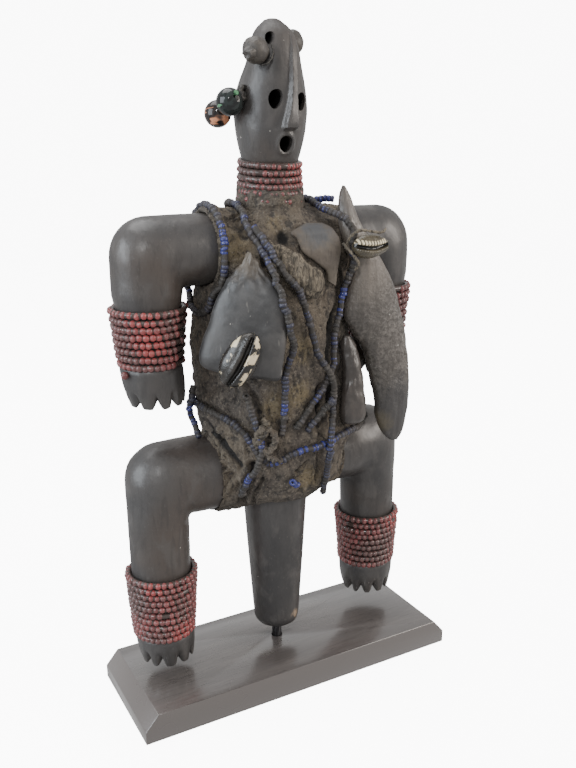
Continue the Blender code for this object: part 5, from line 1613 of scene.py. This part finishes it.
def drilled_bead():
    """One small flat bead, a millimetre wide and long, with its hole along Z."""
    form = bmesh.new()
    sides = 10
    turns = [2 * math.pi * k / sides for k in range(sides)]
    loops = [[form.verts.new((r * math.cos(turn), r * math.sin(turn), z)) for turn in turns]
             for r, z in ((0.16, -0.34), (0.36, -0.5), (0.48, -0.24), (0.48, 0.24), (0.36, 0.5),
                          (0.16, 0.34))]
    for p, loop in enumerate(loops):
        above = loops[(p + 1) % len(loops)]
        for k in range(sides):
            form.faces.new((loop[k], loop[(k + 1) % sides], above[(k + 1) % sides], above[k]))
    for face in form.faces:
        face.smooth = True
    mesh = bpy.data.meshes.new("drilled_bead")
    form.to_mesh(mesh)
    form.free()
    made = bpy.data.objects.new("drilled_bead", mesh)
    bpy.context.scene.collection.objects.link(made)
    return made


bead_model = drilled_bead()
strung = strand_tree(cobalt)


def centre_line(node, guide, closed, radius=1.5):
    """The middle line of a strand's solid, evenly divided."""
    tree = solid_tree(node)
    line = []
    for point in flowing(guide, closed, 0.8):
        place, normal, _, _ = tree.find_nearest(spot(*point))
        line.append(place - normal * radius * MM * 0.95)
    for _ in range(4):
        held = line[:]
        for i in range(len(line)):
            if closed or 0 < i < len(line) - 1:
                line[i] = (held[i - 1] + held[i] * 2 + held[(i + 1) % len(line)]) / 4
    return line + line[:1] if closed else line


def even_walk(line, pitch):
    """Places and directions at this pitch along a line, in scene units."""
    found = []
    carried = 0.0
    for a, b in zip(line, line[1:]):
        length = (b - a).length
        while carried <= length:
            found.append((a.lerp(b, carried / max(length, 1e-9)), (b - a).normalized()))
            carried += pitch
        carried -= length
    return found


def bead_strand(node, name, guide, seed, closed=False):
    """A string of beads along the solid's middle line, each a little out of true."""
    draw = np.random.default_rng(seed)
    stops = even_walk(centre_line(node, guide, closed), SEED_PITCH * MM)
    points, ways, sizes, hues, shown, lumps = [], [], [], [], [], []
    for place, ahead in stops:
        jitter = Vector(draw.normal(0, 0.17, 3))
        points.append(place + jitter * MM)
        ways.append((ahead + Vector(draw.normal(0, 0.16, 3))).normalized())
        wide = SEED_BEAD * draw.uniform(0.9, 1.1)
        sizes.append((wide * MM, wide * MM, SEED_PITCH * draw.uniform(0.9, 1.12) * MM))
        drawn_place = drawing_of(points[-1])
        blue = max(bell((drawn_place - Vector(rub)).length, far) for rub, far in RUBBED)
        dim = 0.28 + 0.7 * cloud(drawn_place, 9, 4.0, 2)
        hues.append(max(min(1.0, blue * 1.3) * draw.uniform(0.8, 1.05), dim + draw.uniform(-0.12, 0.12)))
        shown.append(1.0 if draw.random() > 0.04 else 0.0)
        lumps.append(0.84 + 0.42 * cloud(drawn_place, 5, 2.0, 3) - 0.25 * blue + draw.uniform(-0.16, 0.2))
    edges = [(i, i + 1) for i in range(len(points) - 1)] + ([(len(points) - 1, 0)] if closed else [])
    mesh = bpy.data.meshes.new(name)
    mesh.from_pydata(points, edges, [])
    mesh.attributes.new("way", "FLOAT_VECTOR", "POINT").data.foreach_set("vector", np.ravel(ways))
    mesh.attributes.new("size", "FLOAT_VECTOR", "POINT").data.foreach_set("vector", np.ravel(sizes))
    mesh.attributes.new("hue", "FLOAT", "POINT").data.foreach_set("value", hues)
    mesh.attributes.new("shown", "FLOAT", "POINT").data.foreach_set("value", shown)
    mesh.attributes.new("lump", "FLOAT", "POINT").data.foreach_set("value", lumps)
    made = bpy.data.objects.new(name, mesh)
    bpy.context.scene.collection.objects.link(made)
    step = made.modifiers.new("strung", "NODES")
    step.node_group = strung.group
    step[strung.keys["Bead"]] = bead_model
    step[strung.keys["Cord radius"]] = 1.45 * MM
    settle(made)
    return dress(made, cobalt, [node])


for number, (node, name, guide, closed) in enumerate((
        ("waist_bead_strand", "waist_beads", WAIST, True),
        ("right_belly_bead_strand", "right_belly_beads", BELLY_SIDE, False),
        ("right_side_bead_strand", "right_side_beads", SIDE_LOOP, False),
        ("loose_bead_end", "loose_end_beads", LOOSE_END, False),
        ("right_shoulder_bead_strand", "right_shoulder_beads", SHOULDER_LOOP, True),
        ("neck_bead_strand", "neck_strand_beads", NECK_LOOP, False),
        ("chest_bead_strand", "chest_beads", CHEST_PAIR, False),
        ("belly_bead_strand", "belly_beads", BELLY_PAIR, False),
        ("left_shoulder_bead_strand", "left_shoulder_beads", LEFT_SHOULDER, False))):
    bead_strand(node, name, guide, number + 21, closed)
bpy.data.objects.remove(bead_model, do_unlink=True)

# Knot and stray bead: where the waist strings cross they are tied in a lumpy knot of crusted
# cord, and one red bead has slipped off the right arm's cuff and hangs by its thread
cord_along("waist_knot_loop", [(-21.6, -26, 128), (-23, -27.5, 132), (-21.6, -29, 136), (-18.4, -30.5, 136.6),
                               (-15.8, -31, 133.6), (-16, -31, 129.6), (-18.6, -30.5, 127),
                               (-21.6, -27.5, 128.4)],
           1.6, crusted, fray=0.6)
cord_along("waist_knot_wrap", [(-19.5, -27, 141), (-18.2, -30, 138), (-20, -30.5, 135), (-22, -28.5, 131),
                               (-20.5, -29.5, 126.6), (-17, -31, 123), (-12, -31, 121)],
           1.35, crusted, fray=0.6)
stray = round_lump("stray_red_bead", (-72.6, -4.6, 162.4), 1.75, 14, 8)
smooth_under(stray, 60)
dress(stray, brick_glass)
